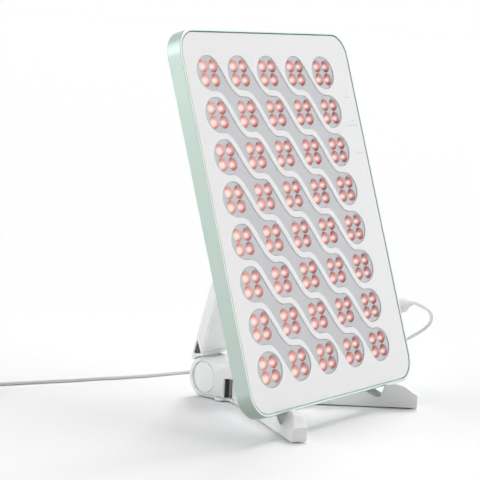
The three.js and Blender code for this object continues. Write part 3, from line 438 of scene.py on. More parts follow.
# %% White plastics
# After its name: pale and deep colour, grain and its lift in mm, roughness from and to.
finishes["shell"] = grained("textured white ABS", "F3F4F4", "EFF0F0", 0.5, 0.012, (0.42, 0.55))
finishes["face"] = grained("smooth white ABS", "F5F5F6", "F2F2F3", 0.7, 0.004, (0.3, 0.38))
finishes["lead"] = grained("white PVC", "E2E2E2", "DADADA", 0.9, 0.01, (0.38, 0.5))
finishes["adapter"] = grained("moulded polycarbonate", "ECEDEC", "E6E7E6", 0.45, 0.02, (0.4, 0.55))
print("white plastics:", [material.name for material in finishes.values()])

# %% [markdown]
# ### Mint anodised aluminium and the hidden metals
# The band round the panel is bead-blasted and dyed before it is sealed. Blasting leaves tiny
# dents some 0.2 mm across that spread the highlight, and the dye tints a metal, so the colour
# is in the reflection. It is drawn at 0.4 mm. A metal keeps the default IOR. The heat spreader
# is mill-finish sheet, whose rolling leaves long streaks, so its grain is stretched along X.
# Screws, pins and shaft are zinc-plated steel with a brighter, mottled gloss, and the blades
# are nickel-plated brass, polished along their length.

# %% Metals
finishes["mint"] = grained(
    "bead-blasted mint anodised aluminium",
    "B4C3BB", "ACBCB4", 0.4, 0.006, (0.36, 0.44), Metallic=0.75,
)
finishes["sheet"] = grained(
    "mill-finish aluminium",
    "BFC2C5", "B2B5B9", 0.6, 0.004, (0.3, 0.42), (1.0, 0.04, 0.04), Metallic=1.0,
)
finishes["steel"] = grained(
    "zinc-plated steel", "C3C6CA", "B1B5BA", 0.5, 0.004, (0.24, 0.36), Metallic=1.0
)
finishes["blade"] = grained(
    "nickel-plated brass",
    "CFCBC2", "C4BFB4", 0.6, 0.003, (0.16, 0.26), (1.0, 0.1, 1.0), Metallic=1.0,
)
print("metals:", [finishes[k].name for k in ("mint", "sheet", "steel", "blade")])

# %% [markdown]
# ### The grey plate, dark plastics and rubber
# The plate behind the channels is ABS with a satin silver-grey paint, so it holds fine metal
# flakes: a faint sparkle in its gloss, and almost no relief. Rubber feet are dull and slightly
# rough, and the dark inserts are textured ABS. The touch marks are pad-printed ink, flat and
# even, and the boards wear a solder mask, a thin lacquer that ripples over their copper.

# %% Grey, dark and rubber
finishes["grey"] = grained(
    "satin silver-grey paint", "C3C4C7", "BABBBE", 0.35, 0.002, (0.3, 0.5), Metallic=0.12
)
finishes["dark"] = grained("textured dark ABS", "4A4B4E", "3C3D40", 0.5, 0.02, (0.5, 0.62))
finishes["rubber"] = grained("cast rubber", "7B7D80", "6E7073", 0.6, 0.03, (0.75, 0.9))
finishes["print"] = grained("pad-printed ink", "E0E1E3", "DADBDD", 0.3, 0.001, (0.5, 0.6))
finishes["led_board"] = grained("white solder mask", "EDEDE9", "E3E3DE", 0.5, 0.006, (0.35, 0.5))
finishes["green_board"] = grained("green solder mask", "2F6B4A", "265A3D", 0.8, 0.01, (0.25, 0.4))
print("finishes so far:", len(finishes))

# %% [markdown]
# ### The lit lenses
# Each lens is a small dome of clear polycarbonate over a red emitter, whose glow is real light.
# Seen from the front left, the flank towards the left shows the emitter large and almost white,
# and towards the top and the right the dome bends the view to the dark red wall of its cup.
# Modelling the optics would be slow and would not survive an export, so that one view is painted
# on the dome by where each point is on it: a painted highlight on the left flank and painted shade
# towards the top and the right. Every point of a dome carries its place on that dome, from minus
# one to one, and its side of the cluster. The colour is the dome's own glow with this painted
# highlight and shade in it, and a dark share of it, painted the same way, is the colour that room
# light meets. Two lenses never look the same, so a grain some 2 mm wide wavers the rings, and a
# cloud a little wider than a lens shifts each one from peach to pink. The right one of each pair
# is a deeper red, as painted shade from its well's wall, and so are the clusters further right,
# where the painted highlight fades.

# %% How far each point of a lens is from the painted highlight
# Where the painted highlight sits on a lens, as a share of its radius; further from it the colour
# turns to painted shade.
PAINTED_HIGHLIGHT_ACROSS, PAINTED_HIGHLIGHT_UP, UP_SHARE = -0.78, -0.15, 1.15
# The right lens of each pair gets painted shade from its well's wall, and the painted highlight
# fades towards the panel's right.
RIGHT_LENS_PAINTED_SHADE, PAINTED_HIGHLIGHT_FADE_A_METRE, GRAIN_REDDER, PAINTED_HIGHLIGHT_WIDER = 0.12, 2.4, 0.16, -0.06
CUP_GRAIN, LENS_CLOUD = 2.38, 14.3
lens_material, lens_tree, lens_shader = started(
    "clear polycarbonate over a red emitter",
    Roughness=0.2,
    IOR=1.5,
    Coat_Weight=0.2,
    Coat_Roughness=0.06,
    Emission_Strength=0.82,
)
finishes["lens"] = lens_material
lens_place = add(lens_tree, TEXTURE_PLACE).outputs["Object"]
dome_numbers = add(lens_tree, "ShaderNodeAttribute", attribute_name="place_on_dome")
on_dome = dome_numbers.outputs["Vector"]
centred = {"Location": (-PAINTED_HIGHLIGHT_ACROSS, -PAINTED_HIGHLIGHT_UP * UP_SHARE, 0.0), "Scale": (1.0, UP_SHARE, 0.0)}
from_painted_highlight = add(lens_tree, "ShaderNodeMapping", {"Vector": on_dome, **centred})
away = add(lens_tree, "ShaderNodeVectorMath", {0: from_painted_highlight.outputs[0]}, operation="LENGTH")
side_in_pair = add(lens_tree, "ShaderNodeSeparateXYZ", {0: on_dome}).outputs[2]
across_panel = add(lens_tree, "ShaderNodeSeparateXYZ", {0: lens_place}).outputs[0]
cup_grain = add(lens_tree, NOISE, {"Vector": lens_place, "Scale": 1 / (CUP_GRAIN * MM)})
painted_shade_scale = 1.0
for socket, share in ((side_in_pair, RIGHT_LENS_PAINTED_SHADE), (across_panel, PAINTED_HIGHLIGHT_FADE_A_METRE)):
    terms = {0: socket, 1: share, 2: painted_shade_scale}
    painted_shade_scale = add(lens_tree, MATH, terms, operation="MULTIPLY_ADD").outputs[0]
painted_highlight_distance = PAINTED_HIGHLIGHT_WIDER
for socket, share in ((away.outputs["Value"], painted_shade_scale), (cup_grain.outputs[0], GRAIN_REDDER)):
    terms = {0: socket, 1: share, 2: painted_highlight_distance}
    painted_highlight_distance = add(lens_tree, MATH, terms, operation="MULTIPLY_ADD").outputs[0]
print("glow at", (PAINTED_HIGHLIGHT_ACROSS, PAINTED_HIGHLIGHT_UP), "of a lens's radius")

# %% Lens colours
# Colours from the painted highlight's pale middle out to the painted shade of the dark red rim.
LENS_HIGHLIGHT_TO_SHADE_STOPS = [
    (0.0, "FFFAF5"), (0.24, "FFF3EC"), (0.38, "FCDDD3"), (0.52, "ECAEA3"), (0.68, "D98D85"),
    (0.9, "C06E6A"), (1.1, "9E4E50"), (1.32, "7F3A3F"), (1.7, "6C2F36"),
]
LENS_REACH = LENS_HIGHLIGHT_TO_SHADE_STOPS[-1][0]
terms = {0: painted_highlight_distance, 1: 1 / LENS_REACH}
share_of_reach = add(lens_tree, MATH, terms, operation="MULTIPLY")
lens_ramp = add(lens_tree, "ShaderNodeValToRGB", {0: share_of_reach.outputs[0]})
ramp_stops = lens_ramp.color_ramp.elements
ramp_stops[0].color, ramp_stops[1].color = linear(LENS_HIGHLIGHT_TO_SHADE_STOPS[0][1]), linear(LENS_HIGHLIGHT_TO_SHADE_STOPS[-1][1])
for distance, hex_text in LENS_HIGHLIGHT_TO_SHADE_STOPS[1:-1]:
    ramp_stops.new(distance / LENS_REACH).color = linear(hex_text)
lens_cloud = add(lens_tree, NOISE, {"Vector": lens_place, "Scale": 1 / (LENS_CLOUD * MM)})
casts = {0: lens_cloud.outputs[0], 6: linear("FFF8F2"), 7: linear("FFF1F6")}
cast = add(lens_tree, MIX, casts, data_type="RGBA")
product = {"data_type": "RGBA", "blend_type": "MULTIPLY"}
layers = {0: 1.0, 6: lens_ramp.outputs[0], 7: cast.outputs[2]}
# The glow carries the painted highlight and painted shade, and the base colour is a dark share of
# it.
glow = add(lens_tree, MIX, layers, **product).outputs[2]
dim_painted_glow = add(lens_tree, MIX, {0: 1.0, 6: glow, 7: linear("5A5A5A")}, **product).outputs[2]
lens_tree.links.new(dim_painted_glow, lens_shader.inputs["Base Color"])
lens_tree.links.new(glow, lens_shader.inputs["Emission Color"])
print("lens colours:", len(LENS_HIGHLIGHT_TO_SHADE_STOPS), "out to", LENS_REACH, "of a lens's radius")

# %% [markdown]
# ## The metal band
# The real band is one extrusion, bent round the panel and joined at the bottom. Its outside is
# plain, its two long edges are broken by a small round, and a ledge inside carries the face. A
# profile of (how far in, how deep) is carried round the panel's outline. Because the outline
# drawn in by any distance is again a rounded rectangle, every ring has the same points.

# %% Round outlines
CORNERS = ((1, 1), (-1, 1), (-1, -1), (1, -1))


def arc(x, up, radius, start, sweep, steps, radius_up=None):
    """Points on an arc or part of an ellipse, from the start angle on, in degrees."""
    angles = [math.radians(start + sweep * i / steps) for i in range(steps + 1)]
    return [(x + radius * math.cos(a), up + (radius_up or radius) * math.sin(a)) for a in angles]


def circle(x, up, radius, steps=24):
    """A closed circle's points, counterclockwise from the right."""
    return arc(x, up, radius, 0, 360, steps)[:-1]


def rounded_rectangle(width, height, radius, x=0.0, up=0.0, steps=16):
    """The outline's points, counterclockwise from the right of the upper right corner."""
    points = []
    for number, (across, along) in enumerate(CORNERS):
        centre = x + across * (width / 2 - radius), up + along * (height / 2 - radius)
        points += arc(*centre, radius, 90 * number, 90, steps)
    return points


print("a circle has", len(circle(0, 0, 1)), "points, and a corner", len(arc(0, 0, 1, 0, 90, 16)))


# %% Pieces made of rings
def skinned(name, rings, closed=True):
    """A piece with a skin over rings of equally many points."""
    points = [point for ring in rings for point in ring]
    return linked(name, tidied(name, points, ring_faces(len(rings), len(rings[0]), closed)))


def turned(name, profile, axis="Z", steps=48):
    """A round piece: (radius, along) points turned about an axis, closed at both ends."""
    rings = []
    for radius, along in profile:
        ring = [list(point) for point in circle(0, 0, radius, steps)]
        for point in ring:
            point.insert("XYZ".index(axis), along)
        rings.append(ring)
    return skinned(name, rings, closed=False)


PANEL_WIDTH, PANEL_HEIGHT, PANEL_DEPTH, PANEL_CORNER = 242.8, 309.8, 13.5, 21.0


def panel_outline(inset):
    """The panel's outline, drawn in by so much."""
    sizes = PANEL_WIDTH - 2 * inset, PANEL_HEIGHT - 2 * inset, PANEL_CORNER - inset
    return rounded_rectangle(*sizes, 0.0, PANEL_HEIGHT / 2)


def carried_round(name, profile):
    """The closed profile of (inset, depth) points, carried round the panel's outline."""
    rings = [[(x, depth, up) for x, up in panel_outline(inset)] for inset, depth in profile]
    return skinned(name, rings)


print("panel outline:", len(panel_outline(0)), "points,", PANEL_WIDTH, "by", PANEL_HEIGHT, "mm")

# %% The band
FRAME_WALL, LEDGE_REACH, SEAT_GAP = 2.0, 5.0, 0.3
LEDGE_FRONT, LEDGE_BACK = 2.6, 4.2
EDGE, LIP, EDGE_STEPS = 0.7, 0.25, 4
JACK_HOLE, JACK_HOLE_IN, JACK_HOLE_OUT = 3.6, 110, 130
band_profile = [
    *arc(EDGE, PANEL_DEPTH - EDGE, EDGE, 90, 90, EDGE_STEPS),
    *arc(EDGE, EDGE, EDGE, 180, 90, EDGE_STEPS),
    *arc(FRAME_WALL - LIP, LIP, LIP, 270, 90, EDGE_STEPS),
    (FRAME_WALL, LEDGE_FRONT),
    (FRAME_WALL + LEDGE_REACH, LEDGE_FRONT),
    (FRAME_WALL + LEDGE_REACH, LEDGE_BACK),
    (FRAME_WALL, LEDGE_BACK),
    *arc(FRAME_WALL - LIP, PANEL_DEPTH - LIP, LIP, 0, 90, EDGE_STEPS),
]
band = carried_round("panel_band", band_profile)
jack_drill = [
    (0, JACK_HOLE_IN), (JACK_HOLE, JACK_HOLE_IN), (JACK_HOLE, JACK_HOLE_OUT), (0, JACK_HOLE_OUT)
]
jack_hole = turned("jack_hole", jack_drill, "X", 32)
carved(band, moved(jack_hole, 0, JACK_DEPTH, JACK_UP))
placed(band, ON_PANEL, "panel", "mint", ["side_frame"])

# %% [markdown]
# ## The face and its channels
# The face is one white moulding with twelve channels, one along each diagonal of clusters, and
# what is left between them reads as wavy ribbons. A flat curve with holes fills and bevels such
# a shape in one go, so each outline is worked out as points: half an ellipse round the first
# cluster, a wave down to the last one, half an ellipse, and a wave back. It is built in
# millimetres, because the filling welds points that lie very close in metres.

# %% The grid of clusters and the edges of a channel
COLUMNS, ROWS = 5, 8
COLUMN_PITCH, ROW_PITCH = 40.8, 34.0
FIRST_X, FIRST_UP = -88.2, 273.9
WELL_WIDTH, RIBBON = 33.0, 5.4
WELL_HEIGHT = ROW_PITCH - RIBBON
WELL_STEPS, RIBBON_STEPS = 24, 28


def cluster(row, column):
    """The middle of a cluster, across and up the face."""
    return FIRST_X + column * COLUMN_PITCH, FIRST_UP - row * ROW_PITCH


def ribbon_edge(x, up, side):
    """One edge of a ribbon, from over one cluster to over the next one down and right."""
    points = []
    for share in (i / RIBBON_STEPS for i in range(RIBBON_STEPS + 1)):
        phase = 2 * math.pi * share
        fall = ROW_PITCH * (math.cos(phase) - 1)
        aside = side * RIBBON / 2 / math.hypot(COLUMN_PITCH, fall)
        wave = ROW_PITCH / (2 * math.pi) * math.sin(phase)
        edge_x = x + COLUMN_PITCH * share - aside * fall
        points.append((edge_x, up - ROW_PITCH * share + wave + aside * COLUMN_PITCH))
    return points


def half_round(row, column, start):
    """Half of the ellipse round a cluster, clockwise from the start angle."""
    return arc(*cluster(row, column), WELL_WIDTH / 2, start, -180, WELL_STEPS, WELL_HEIGHT / 2)


print("clusters:", COLUMNS * ROWS, "in rings", WELL_WIDTH, "by", WELL_HEIGHT, "mm")


# %% Channels
def channel(places):
    """One closed channel through the clusters of a diagonal."""
    points = half_round(*places[0], -90)
    for x, up in (cluster(*place) for place in places[:-1]):
        points += ribbon_edge(x, up + ROW_PITCH / 2, -1)[1:]
    points += half_round(*places[-1], 90)[1:]
    for x, up in (cluster(*place) for place in places[-2::-1]):
        points += ribbon_edge(x, up - ROW_PITCH / 2, 1)[::-1][1:]
    return points[:-1]


def drawn_in(points, by):
    """A clockwise outline moved inwards by so much."""
    inner = []
    for i, (x, up) in enumerate(points):
        before, after = points[i - 1], points[(i + 1) % len(points)]
        run, rise = after[0] - before[0], after[1] - before[1]
        long = math.hypot(run, rise)
        inner.append((x + by * rise / long, up - by * run / long))
    return inner


diagonals = []
for first in range(1 - ROWS, COLUMNS):
    row, column = max(0, -first), max(0, first)
    count = min(ROWS - row, COLUMNS - column)
    diagonals.append([(row + i, column + i) for i in range(count)])
channels = [channel(places) for places in diagonals]
print("channels:", len(channels), "with", sum(len(c) for c in channels), "points")


# %% Flat shapes with rounded edges
FILL_WELD, SLIVER = 2e-3, 1e-4


def flat_shape(name, outer, holes, front, back, edge, rounds=2):
    """A plate across X and up Z with holes, from one depth to another, its edges rounded."""
    curve = bpy.data.curves.new(name, "CURVE")
    curve.dimensions, curve.fill_mode = "2D", "BOTH"
    curve.extrude = (back - front) / 2 - edge
    curve.bevel_depth, curve.bevel_resolution = edge, rounds
    curve.offset = -edge
    for points in (outer, *holes):
        spline = curve.splines.new("POLY")
        spline.points.add(len(points) - 1)
        for point, (x, up) in zip(spline.points, points, strict=True):
            point.co = (x, up, 0.0, 1.0)
        spline.use_cyclic_u = True
    drawn = linked(name + "_outline", curve)
    mesh = mesh_shown(drawn)
    removed(drawn)
    upright = Matrix.Rotation(math.pi / 2, 4, "X")
    mesh.transform(Matrix.Translation((0, (front + back) / 2, 0)) @ upright)
    shape = welded(mesh, FILL_WELD)
    bmesh.ops.dissolve_degenerate(shape, edges=shape.edges, dist=SLIVER)
    bmesh.ops.recalc_face_normals(shape, faces=shape.faces)
    open_edges = sum(not e.is_manifold for e in shape.edges)
    print(f"{name}: {len(shape.faces)} faces, {open_edges} open edges")
    return linked(name, written(shape, mesh))


FACE_SEAM, FACE_EDGE = 0.8, 0.4
FASCIA_FRONT, FASCIA_BACK = 0.3, 2.3
face_outline = panel_outline(FRAME_WALL + FACE_SEAM)
fascia = flat_shape("face_plate", face_outline, channels, FASCIA_FRONT, FASCIA_BACK, FACE_EDGE)
placed(fascia, ON_PANEL, "panel", "face", ["front_fascia"])

# %% [markdown]
# ## The grey plate and the lenses
# Behind the channels lies a grey plate with a round hole for each lens, four to a cluster. It
# rises into the channels almost to the face, so that they read as shallow grooves. The lenses
# repeat on a grid of grids, which is just what Geometry Nodes are for: one small tree lays
# copies of its object in a row and the row in rows, centred on where the first one was. It
# runs twice on the lens, once for the four of a cluster and once for the forty clusters.

# %% Grey plate
LENS_ACROSS, LENS_ALONG, LENS_RADIUS = 13.3, 11.44, 5.2
LAND_FRONT, LAND_OVERLAP, LAND_EDGE = 0.9, 0.1, 0.15
REFLECTOR_BACK = 3.8
HOLE_CLEARANCE, LAND_CLEARANCE = 0.1, 0.2
PLATE_LEFT, PLATE_RIGHT = -114.1, 95.5


def cluster_holes(row, column):
    """The holes for the four lenses of one cluster."""
    x, up = cluster(row, column)
    places = [(x + a * LENS_ACROSS / 2, up + b * LENS_ALONG / 2) for a in (-1, 1) for b in (-1, 1)]
    return [circle(*place, LENS_RADIUS + HOLE_CLEARANCE) for place in places]


plate_outline = rounded_rectangle(
    PLATE_RIGHT - PLATE_LEFT,
    PANEL_HEIGHT - 2 * (FRAME_WALL + LEDGE_REACH + SEAT_GAP),
    PANEL_CORNER - FRAME_WALL - LEDGE_REACH,
    (PLATE_LEFT + PLATE_RIGHT) / 2,
    PANEL_HEIGHT / 2,
)
every_cluster = [(row, column) for row in range(ROWS) for column in range(COLUMNS)]
lens_holes = [hole for place in every_cluster for hole in cluster_holes(*place)]
grey_plate = flat_shape("grey_plate", plate_outline, lens_holes, LEDGE_FRONT, REFLECTOR_BACK, 0, 0)
land_back = LEDGE_FRONT + LAND_OVERLAP
for points, places in zip(channels, diagonals, strict=True):
    holes = [hole for place in places for hole in cluster_holes(*place)]
    outline = drawn_in(points, LAND_CLEARANCE)
    land = flat_shape("grey_land", outline, holes, LAND_FRONT, land_back, LAND_EDGE, 1)
    joined(grey_plate, land)
placed(grey_plate, ON_PANEL, "panel", "grey", ["grey_reflector"])


# %% A tree that repeats a piece in rows
def repeat_tree():
    """Copies in a row along one offset, and that row along another, centred on the first."""
    tree = bpy.data.node_groups.new("copies in rows", "GeometryNodeTree")
    sockets = {"Geometry": "NodeSocketGeometry"}
    sockets |= {"First count": "NodeSocketInt", "First step": "NodeSocketVector"}
    sockets |= {"Second count": "NodeSocketInt", "Second step": "NodeSocketVector"}
    sockets |= {"Finish": "NodeSocketMaterial"}
    for name, kind in sockets.items():
        tree.interface.new_socket(name, in_out="INPUT", socket_type=kind)
    tree.interface.new_socket("Geometry", in_out="OUTPUT", socket_type="NodeSocketGeometry")
    given = add(tree, "NodeGroupInput").outputs
    shape = given["Geometry"]
    for which in ("First", "Second"):
        count, step = given[which + " count"], given[which + " step"]
        less = add(tree, MATH, {0: count, 1: 1.0}, operation="SUBTRACT")
        half = add(tree, MATH, {0: less.outputs[0], 1: -0.5}, operation="MULTIPLY")
        back = {0: step, "Scale": half.outputs[0]}
        start = add(tree, "ShaderNodeVectorMath", back, operation="SCALE")
        run = {"Count": count, "Start Location": start.outputs[0], "Offset": step}
        row = {"Points": add(tree, "GeometryNodeMeshLine", run).outputs[0], "Instance": shape}
        copies = add(tree, "GeometryNodeInstanceOnPoints", row)
        linked_copies = {"Geometry": copies.outputs[0]}
        shape = add(tree, "GeometryNodeRealizeInstances", linked_copies).outputs[0]
    shape_and_finish = {"Geometry": shape, "Material": given["Finish"]}
    painted = add(tree, "GeometryNodeSetMaterial", shape_and_finish)
    add(tree, "NodeGroupOutput", {"Geometry": painted.outputs[0]})
    return tree


copies_in_rows = repeat_tree()
tree_inputs = [s for s in copies_in_rows.interface.items_tree if s.in_out == "INPUT"]
tree_inputs = {s.name: s.identifier for s in tree_inputs}


def repeated(piece, first, second, finish):
    """Runs the tree on a piece, with (count, step) for each row, and keeps the plain mesh."""
    modifier = piece.modifiers.new("copies", "NODES")
    modifier.node_group = copies_in_rows
    values = dict(zip(("First count", "First step"), first, strict=True))
    values |= dict(zip(("Second count", "Second step"), second, strict=True))
    for name, value in {**values, "Finish": finishes[finish]}.items():
        modifier[tree_inputs[name]] = value
    return applied(piece)


print("repeat tree:", len(copies_in_rows.nodes), "nodes, inputs", list(tree_inputs))

# %% Lens domes
DOME_TOP, DOME_FOOT, DOME_STEPS = -1.3, 5.0, 8
dome_profile = [
    (0, DOME_FOOT),
    (LENS_RADIUS, DOME_FOOT),
    *arc(0, LAND_FRONT, LENS_RADIUS, 0, 90, DOME_STEPS, DOME_TOP - LAND_FRONT)[:-1],
    (0, DOME_TOP),
]
domes = turned("lenses", dome_profile, "Y", 24)
dome_places = domes.data.attributes.new("place_on_dome", "FLOAT_VECTOR", "POINT")
for place, v in zip(dome_places.data, domes.data.vertices, strict=True):
    place.vector = (v.co.x / LENS_RADIUS, v.co.z / LENS_RADIUS, 0.0)
repeated(domes, (2, (LENS_ACROSS, 0, 0)), (2, (0, 0, LENS_ALONG)), "lens")
dome_places = domes.data.attributes["place_on_dome"]
for place, v in zip(dome_places.data, domes.data.vertices, strict=True):
    place.vector = (*place.vector[:2], math.copysign(1.0, v.co.x))
repeated(domes, (COLUMNS, (COLUMN_PITCH, 0, 0)), (ROWS, (0, 0, ROW_PITCH)), "lens")
print("domes:", len(domes.data.vertices), "points")


# %% Lens strips
def slab(name, low, high, edge=0.0):
    """A box between two corners, its edges rounded if asked."""
    shape = bmesh.new()
    bmesh.ops.create_cube(shape, size=1.0)
    for v in shape.verts:
        v.co = [lo + (c + 0.5) * (hi - lo) for c, lo, hi in zip(v.co, low, high, strict=True)]
    if edge:
        rounding = {"offset": edge, "segments": 2, "affect": "EDGES", "profile": 0.5}
        bmesh.ops.bevel(shape, geom=shape.edges[:], **rounding)
    return linked(name, written(shape, bpy.data.meshes.new(name)))


PLATE_MARGIN, PLATE_HEIGHT, PLATE_FRONT, PLATE_BACK, PLATE_EDGE = 14.0, 30.0, 4.12, 5.1, 0.2
reach = (COLUMNS - 1) * COLUMN_PITCH / 2 + PLATE_MARGIN
strip_low = (-reach, PLATE_FRONT, -PLATE_HEIGHT / 2)
strip_high = (reach, PLATE_BACK, PLATE_HEIGHT / 2)
strips = slab("lens_strips", strip_low, strip_high, PLATE_EDGE)
repeated(strips, (1, (0, 0, 0)), (ROWS, (0, 0, ROW_PITCH)), "lens")
middle_x = FIRST_X + (COLUMNS - 1) * COLUMN_PITCH / 2
middle_up = FIRST_UP - (ROWS - 1) * ROW_PITCH / 2
joined(moved(domes, middle_x, 0, middle_up), moved(strips, middle_x, 0, middle_up))
lens_rows = [f"lens_row_{i + 1}" for i in range(ROWS)]
placed(domes, ON_PANEL, "panel", "lens", lens_rows, SHARP_TURNED)

# %% [markdown]
# ## The three touch marks
# Near the face's right edge are three faint printed marks, each a dot over a short bar, that
# show where to touch. They are ink a few hundredths of a millimetre thick, so they are thin
# flat shapes on the face, and no lettering.

# %% Touch marks
INK, INK_EDGE, DOT_RADIUS, BAR_HEIGHT, BAR_CORNER = 0.04, 0.01, 0.9, 0.8, 0.39
TOUCH_MARKS = [
    ((107.1, 255.4), (100.6, 110.7, 251.9)),
    ((107.5, 230.7), (97.8, 114.8, 226.7)),
    ((106.9, 205.7), (101.3, 113.5, 201.7)),
]
marks = []
for dot, (bar_left, bar_right, bar_up) in TOUCH_MARKS:
    bar_x = (bar_left + bar_right) / 2
    bar = rounded_rectangle(bar_right - bar_left, BAR_HEIGHT, BAR_CORNER, bar_x, bar_up, 6)
    for outline in (circle(*dot, DOT_RADIUS), bar):
        ink = FASCIA_FRONT - INK, FASCIA_FRONT + INK
        marks.append(flat_shape("touch_marks", outline, [], *ink, INK_EDGE))
placed(joined(*marks), ON_PANEL, "panel", "print")

# %% [markdown]
# ## The rear cover
# Behind, a shallow white tray closes the panel. It has six round-ended vents on each side, four
# screws in countersunk bosses, and a rim that stands on the band's ledge. The plate is a flat
# curve with holes, the rim a profile carried round, and the bosses turned rings.

# %% Rear cover
BOSS_X, BOSS_UP, BOSS_RADIUS = 96.0, (24.0, 286.0), 4.0
HEAD_RADIUS, HEAD_HEIGHT, SHANK_RADIUS = 2.9, 1.0, 1.3
VENT_LENGTH, VENT_HEIGHT, VENT_CORNER, VENT_X = 46, 3, 1.49, 62
VENTS, VENT_TOP, VENT_PITCH = 6, 250, 8
COVER_FRONT, COVER_BACK, COVER_EDGE = 11.9, 13.3, 0.35
RIM_WALL, OVERLAP = 1.5, 0.3
vents = [
    rounded_rectangle(
        VENT_LENGTH, VENT_HEIGHT, VENT_CORNER, side * VENT_X, VENT_TOP - i * VENT_PITCH, 8
    )
    for side in (-1, 1)
    for i in range(VENTS)
]
boss_places = [(side * BOSS_X, up) for up in BOSS_UP for side in (-1, 1)]
head_holes = [circle(*place, HEAD_RADIUS + SEAT_GAP) for place in boss_places]
rim_in = FRAME_WALL + SEAT_GAP
holes = [*vents, *head_holes]
cover_outline = panel_outline(rim_in)
cover = flat_shape("rear_cover_shell", cover_outline, holes, COVER_FRONT, COVER_BACK, COVER_EDGE)
print("vents:", len(vents), "in the rear cover")

# %% Rim and bosses
SPREADER_FRONT, SPREADER_BACK = 8.2, 9.7
JACK_ROOM = (106.8, 3.5, 59.5), (119.4, 11.9, 69.1)
rim_out, rim_front, rim_back = rim_in + RIM_WALL, LEDGE_BACK + SEAT_GAP, COVER_FRONT + OVERLAP
rim_profile = [(rim_in, rim_front), (rim_out, rim_front), (rim_out, rim_back), (rim_in, rim_back)]
rim = carved(carried_round("cover_rim", rim_profile), slab("jack_room", *JACK_ROOM))
joined(cover, rim)
hole, boss_front = SHANK_RADIUS + SEAT_GAP, SPREADER_BACK + SEAT_GAP
seat = COVER_BACK - HEAD_HEIGHT - SEAT_GAP
boss_profile = [(hole, boss_front), (BOSS_RADIUS, boss_front), (BOSS_RADIUS, rim_back)]
boss_profile += [(BOSS_RADIUS, seat), (hole, seat), (hole, boss_front)]
for x, up in boss_places:
    joined(cover, moved(turned("boss", boss_profile, "Y", 32), x, 0, up))
placed(cover, ON_PANEL, "panel", "shell", ["rear_cover"])

# %% [markdown]
# ## Screws
# All six screws are the same kind: a low round head with a cross recess. One screw is turned,
# its recess is carved with two crossed slabs, and the repeat tree lays the copies.


# %% Screws of the rear cover
def cross_screw(name, length):
    """A screw along Z with its head at the top, at height nought."""
    profile = [
        (0, -length),
        (SHANK_RADIUS * 0.6, -length),
        (SHANK_RADIUS, -length + 0.5),
        (SHANK_RADIUS, -HEAD_HEIGHT),
        (HEAD_RADIUS, -HEAD_HEIGHT),
        (HEAD_RADIUS, -0.35),
        (HEAD_RADIUS - 0.35, -0.06),
        (HEAD_RADIUS * 0.5, 0.0),
        (0, 0.0),
    ]
    reach, half, deep, over = HEAD_RADIUS * 0.62, 0.28, 0.62, 1
    across = slab("slot_a", (-reach, -half, -deep), (reach, half, over))
    along = slab("slot_b", (-half, -reach, -deep), (half, reach, over))
    return carved(turned(name, profile, "Z", 32), across, along)


TIP_ROOM = 1.2
rear_screws = cross_screw("rear_screws", COVER_BACK - SPREADER_FRONT - TIP_ROOM)
rear_screws.data.transform(Matrix.Rotation(-math.pi / 2, 4, "X"))
low, high = BOSS_UP
repeated(rear_screws, (2, (2 * BOSS_X, 0, 0)), (2, (0, 0, high - low)), "steel")
moved(rear_screws, 0, COVER_BACK, (low + high) / 2)
cover_screws = [f"cover_screw_{i + 1}" for i in range(4)]
placed(rear_screws, ON_PANEL, "panel", "steel", cover_screws)

# %% Screws of the base plate
BASE_SCREW_LENGTH, BASE_SCREWS_APART, BASE_SCREW_Y, BASE_SCREW_UP = 10.9, 24.4, 112, 1.1
base_screws = cross_screw("base_screws", BASE_SCREW_LENGTH)
base_screws.data.transform(Matrix.Rotation(math.pi, 4, "X"))
repeated(base_screws, (2, (BASE_SCREWS_APART, 0, 0)), (1, (0, 0, 0)), "steel")
moved(base_screws, 0, BASE_SCREW_Y, BASE_SCREW_UP)
placed(base_screws, ON_TABLE, "root", "steel", ["base_screw_left", "base_screw_right"])

# %% [markdown]
# ## The moulded stand
# The hinge block, the legs and the arm are thick plastic mouldings. Their shapes are right in
# CAD but their edges are sharp, and a mould never gives a sharp edge. Bevelling every edge of a
# carved shape often tangles where curves meet, so the solid is melted instead: a copy is
# rebuilt from small cubes, smoothed until the corners are round, and thinned again.


# %% Melt a copy of a CAD solid
CAD_WELD = WELD_DISTANCE * MM


def melted(name, node, voxel, passes, keep):
    """A copy of a CAD node in millimetres, with every edge softly rounded."""
    shape = welded(cad_nodes[node].data, CAD_WELD)
    bmesh.ops.scale(shape, vec=(1 / MM,) * 3, verts=shape.verts)
    piece = linked(name, written(shape, bpy.data.meshes.new(name)))
    modified(piece, "REMESH", mode="VOXEL", voxel_size=voxel)
    modified(piece, "SMOOTH", factor=0.5, iterations=passes)
    modified(piece, "DECIMATE", decimate_type="COLLAPSE", ratio=keep)
    return applied(piece)


# Piece, CAD solid, body, size of the cubes in mm, rounds of smoothing, share of faces kept.
for name, node, body, voxel, passes, keep in [
    ("hinge_housing", "base_housing", "root", 0.33, 8, 0.45),
    ("left_leg_moulding", "left_leg", "left_leg", 0.45, 4, 0.4),
    ("right_leg_moulding", "right_leg", "right_leg", 0.45, 4, 0.4),
    ("arm_moulding", "support_arm", "support_arm", 0.45, 5, 0.3),
]:
    moulding = melted(name, node, voxel, passes, keep)
    placed(moulding, IN_ROOM, body, "shell", [node], SHARP_SOFT)

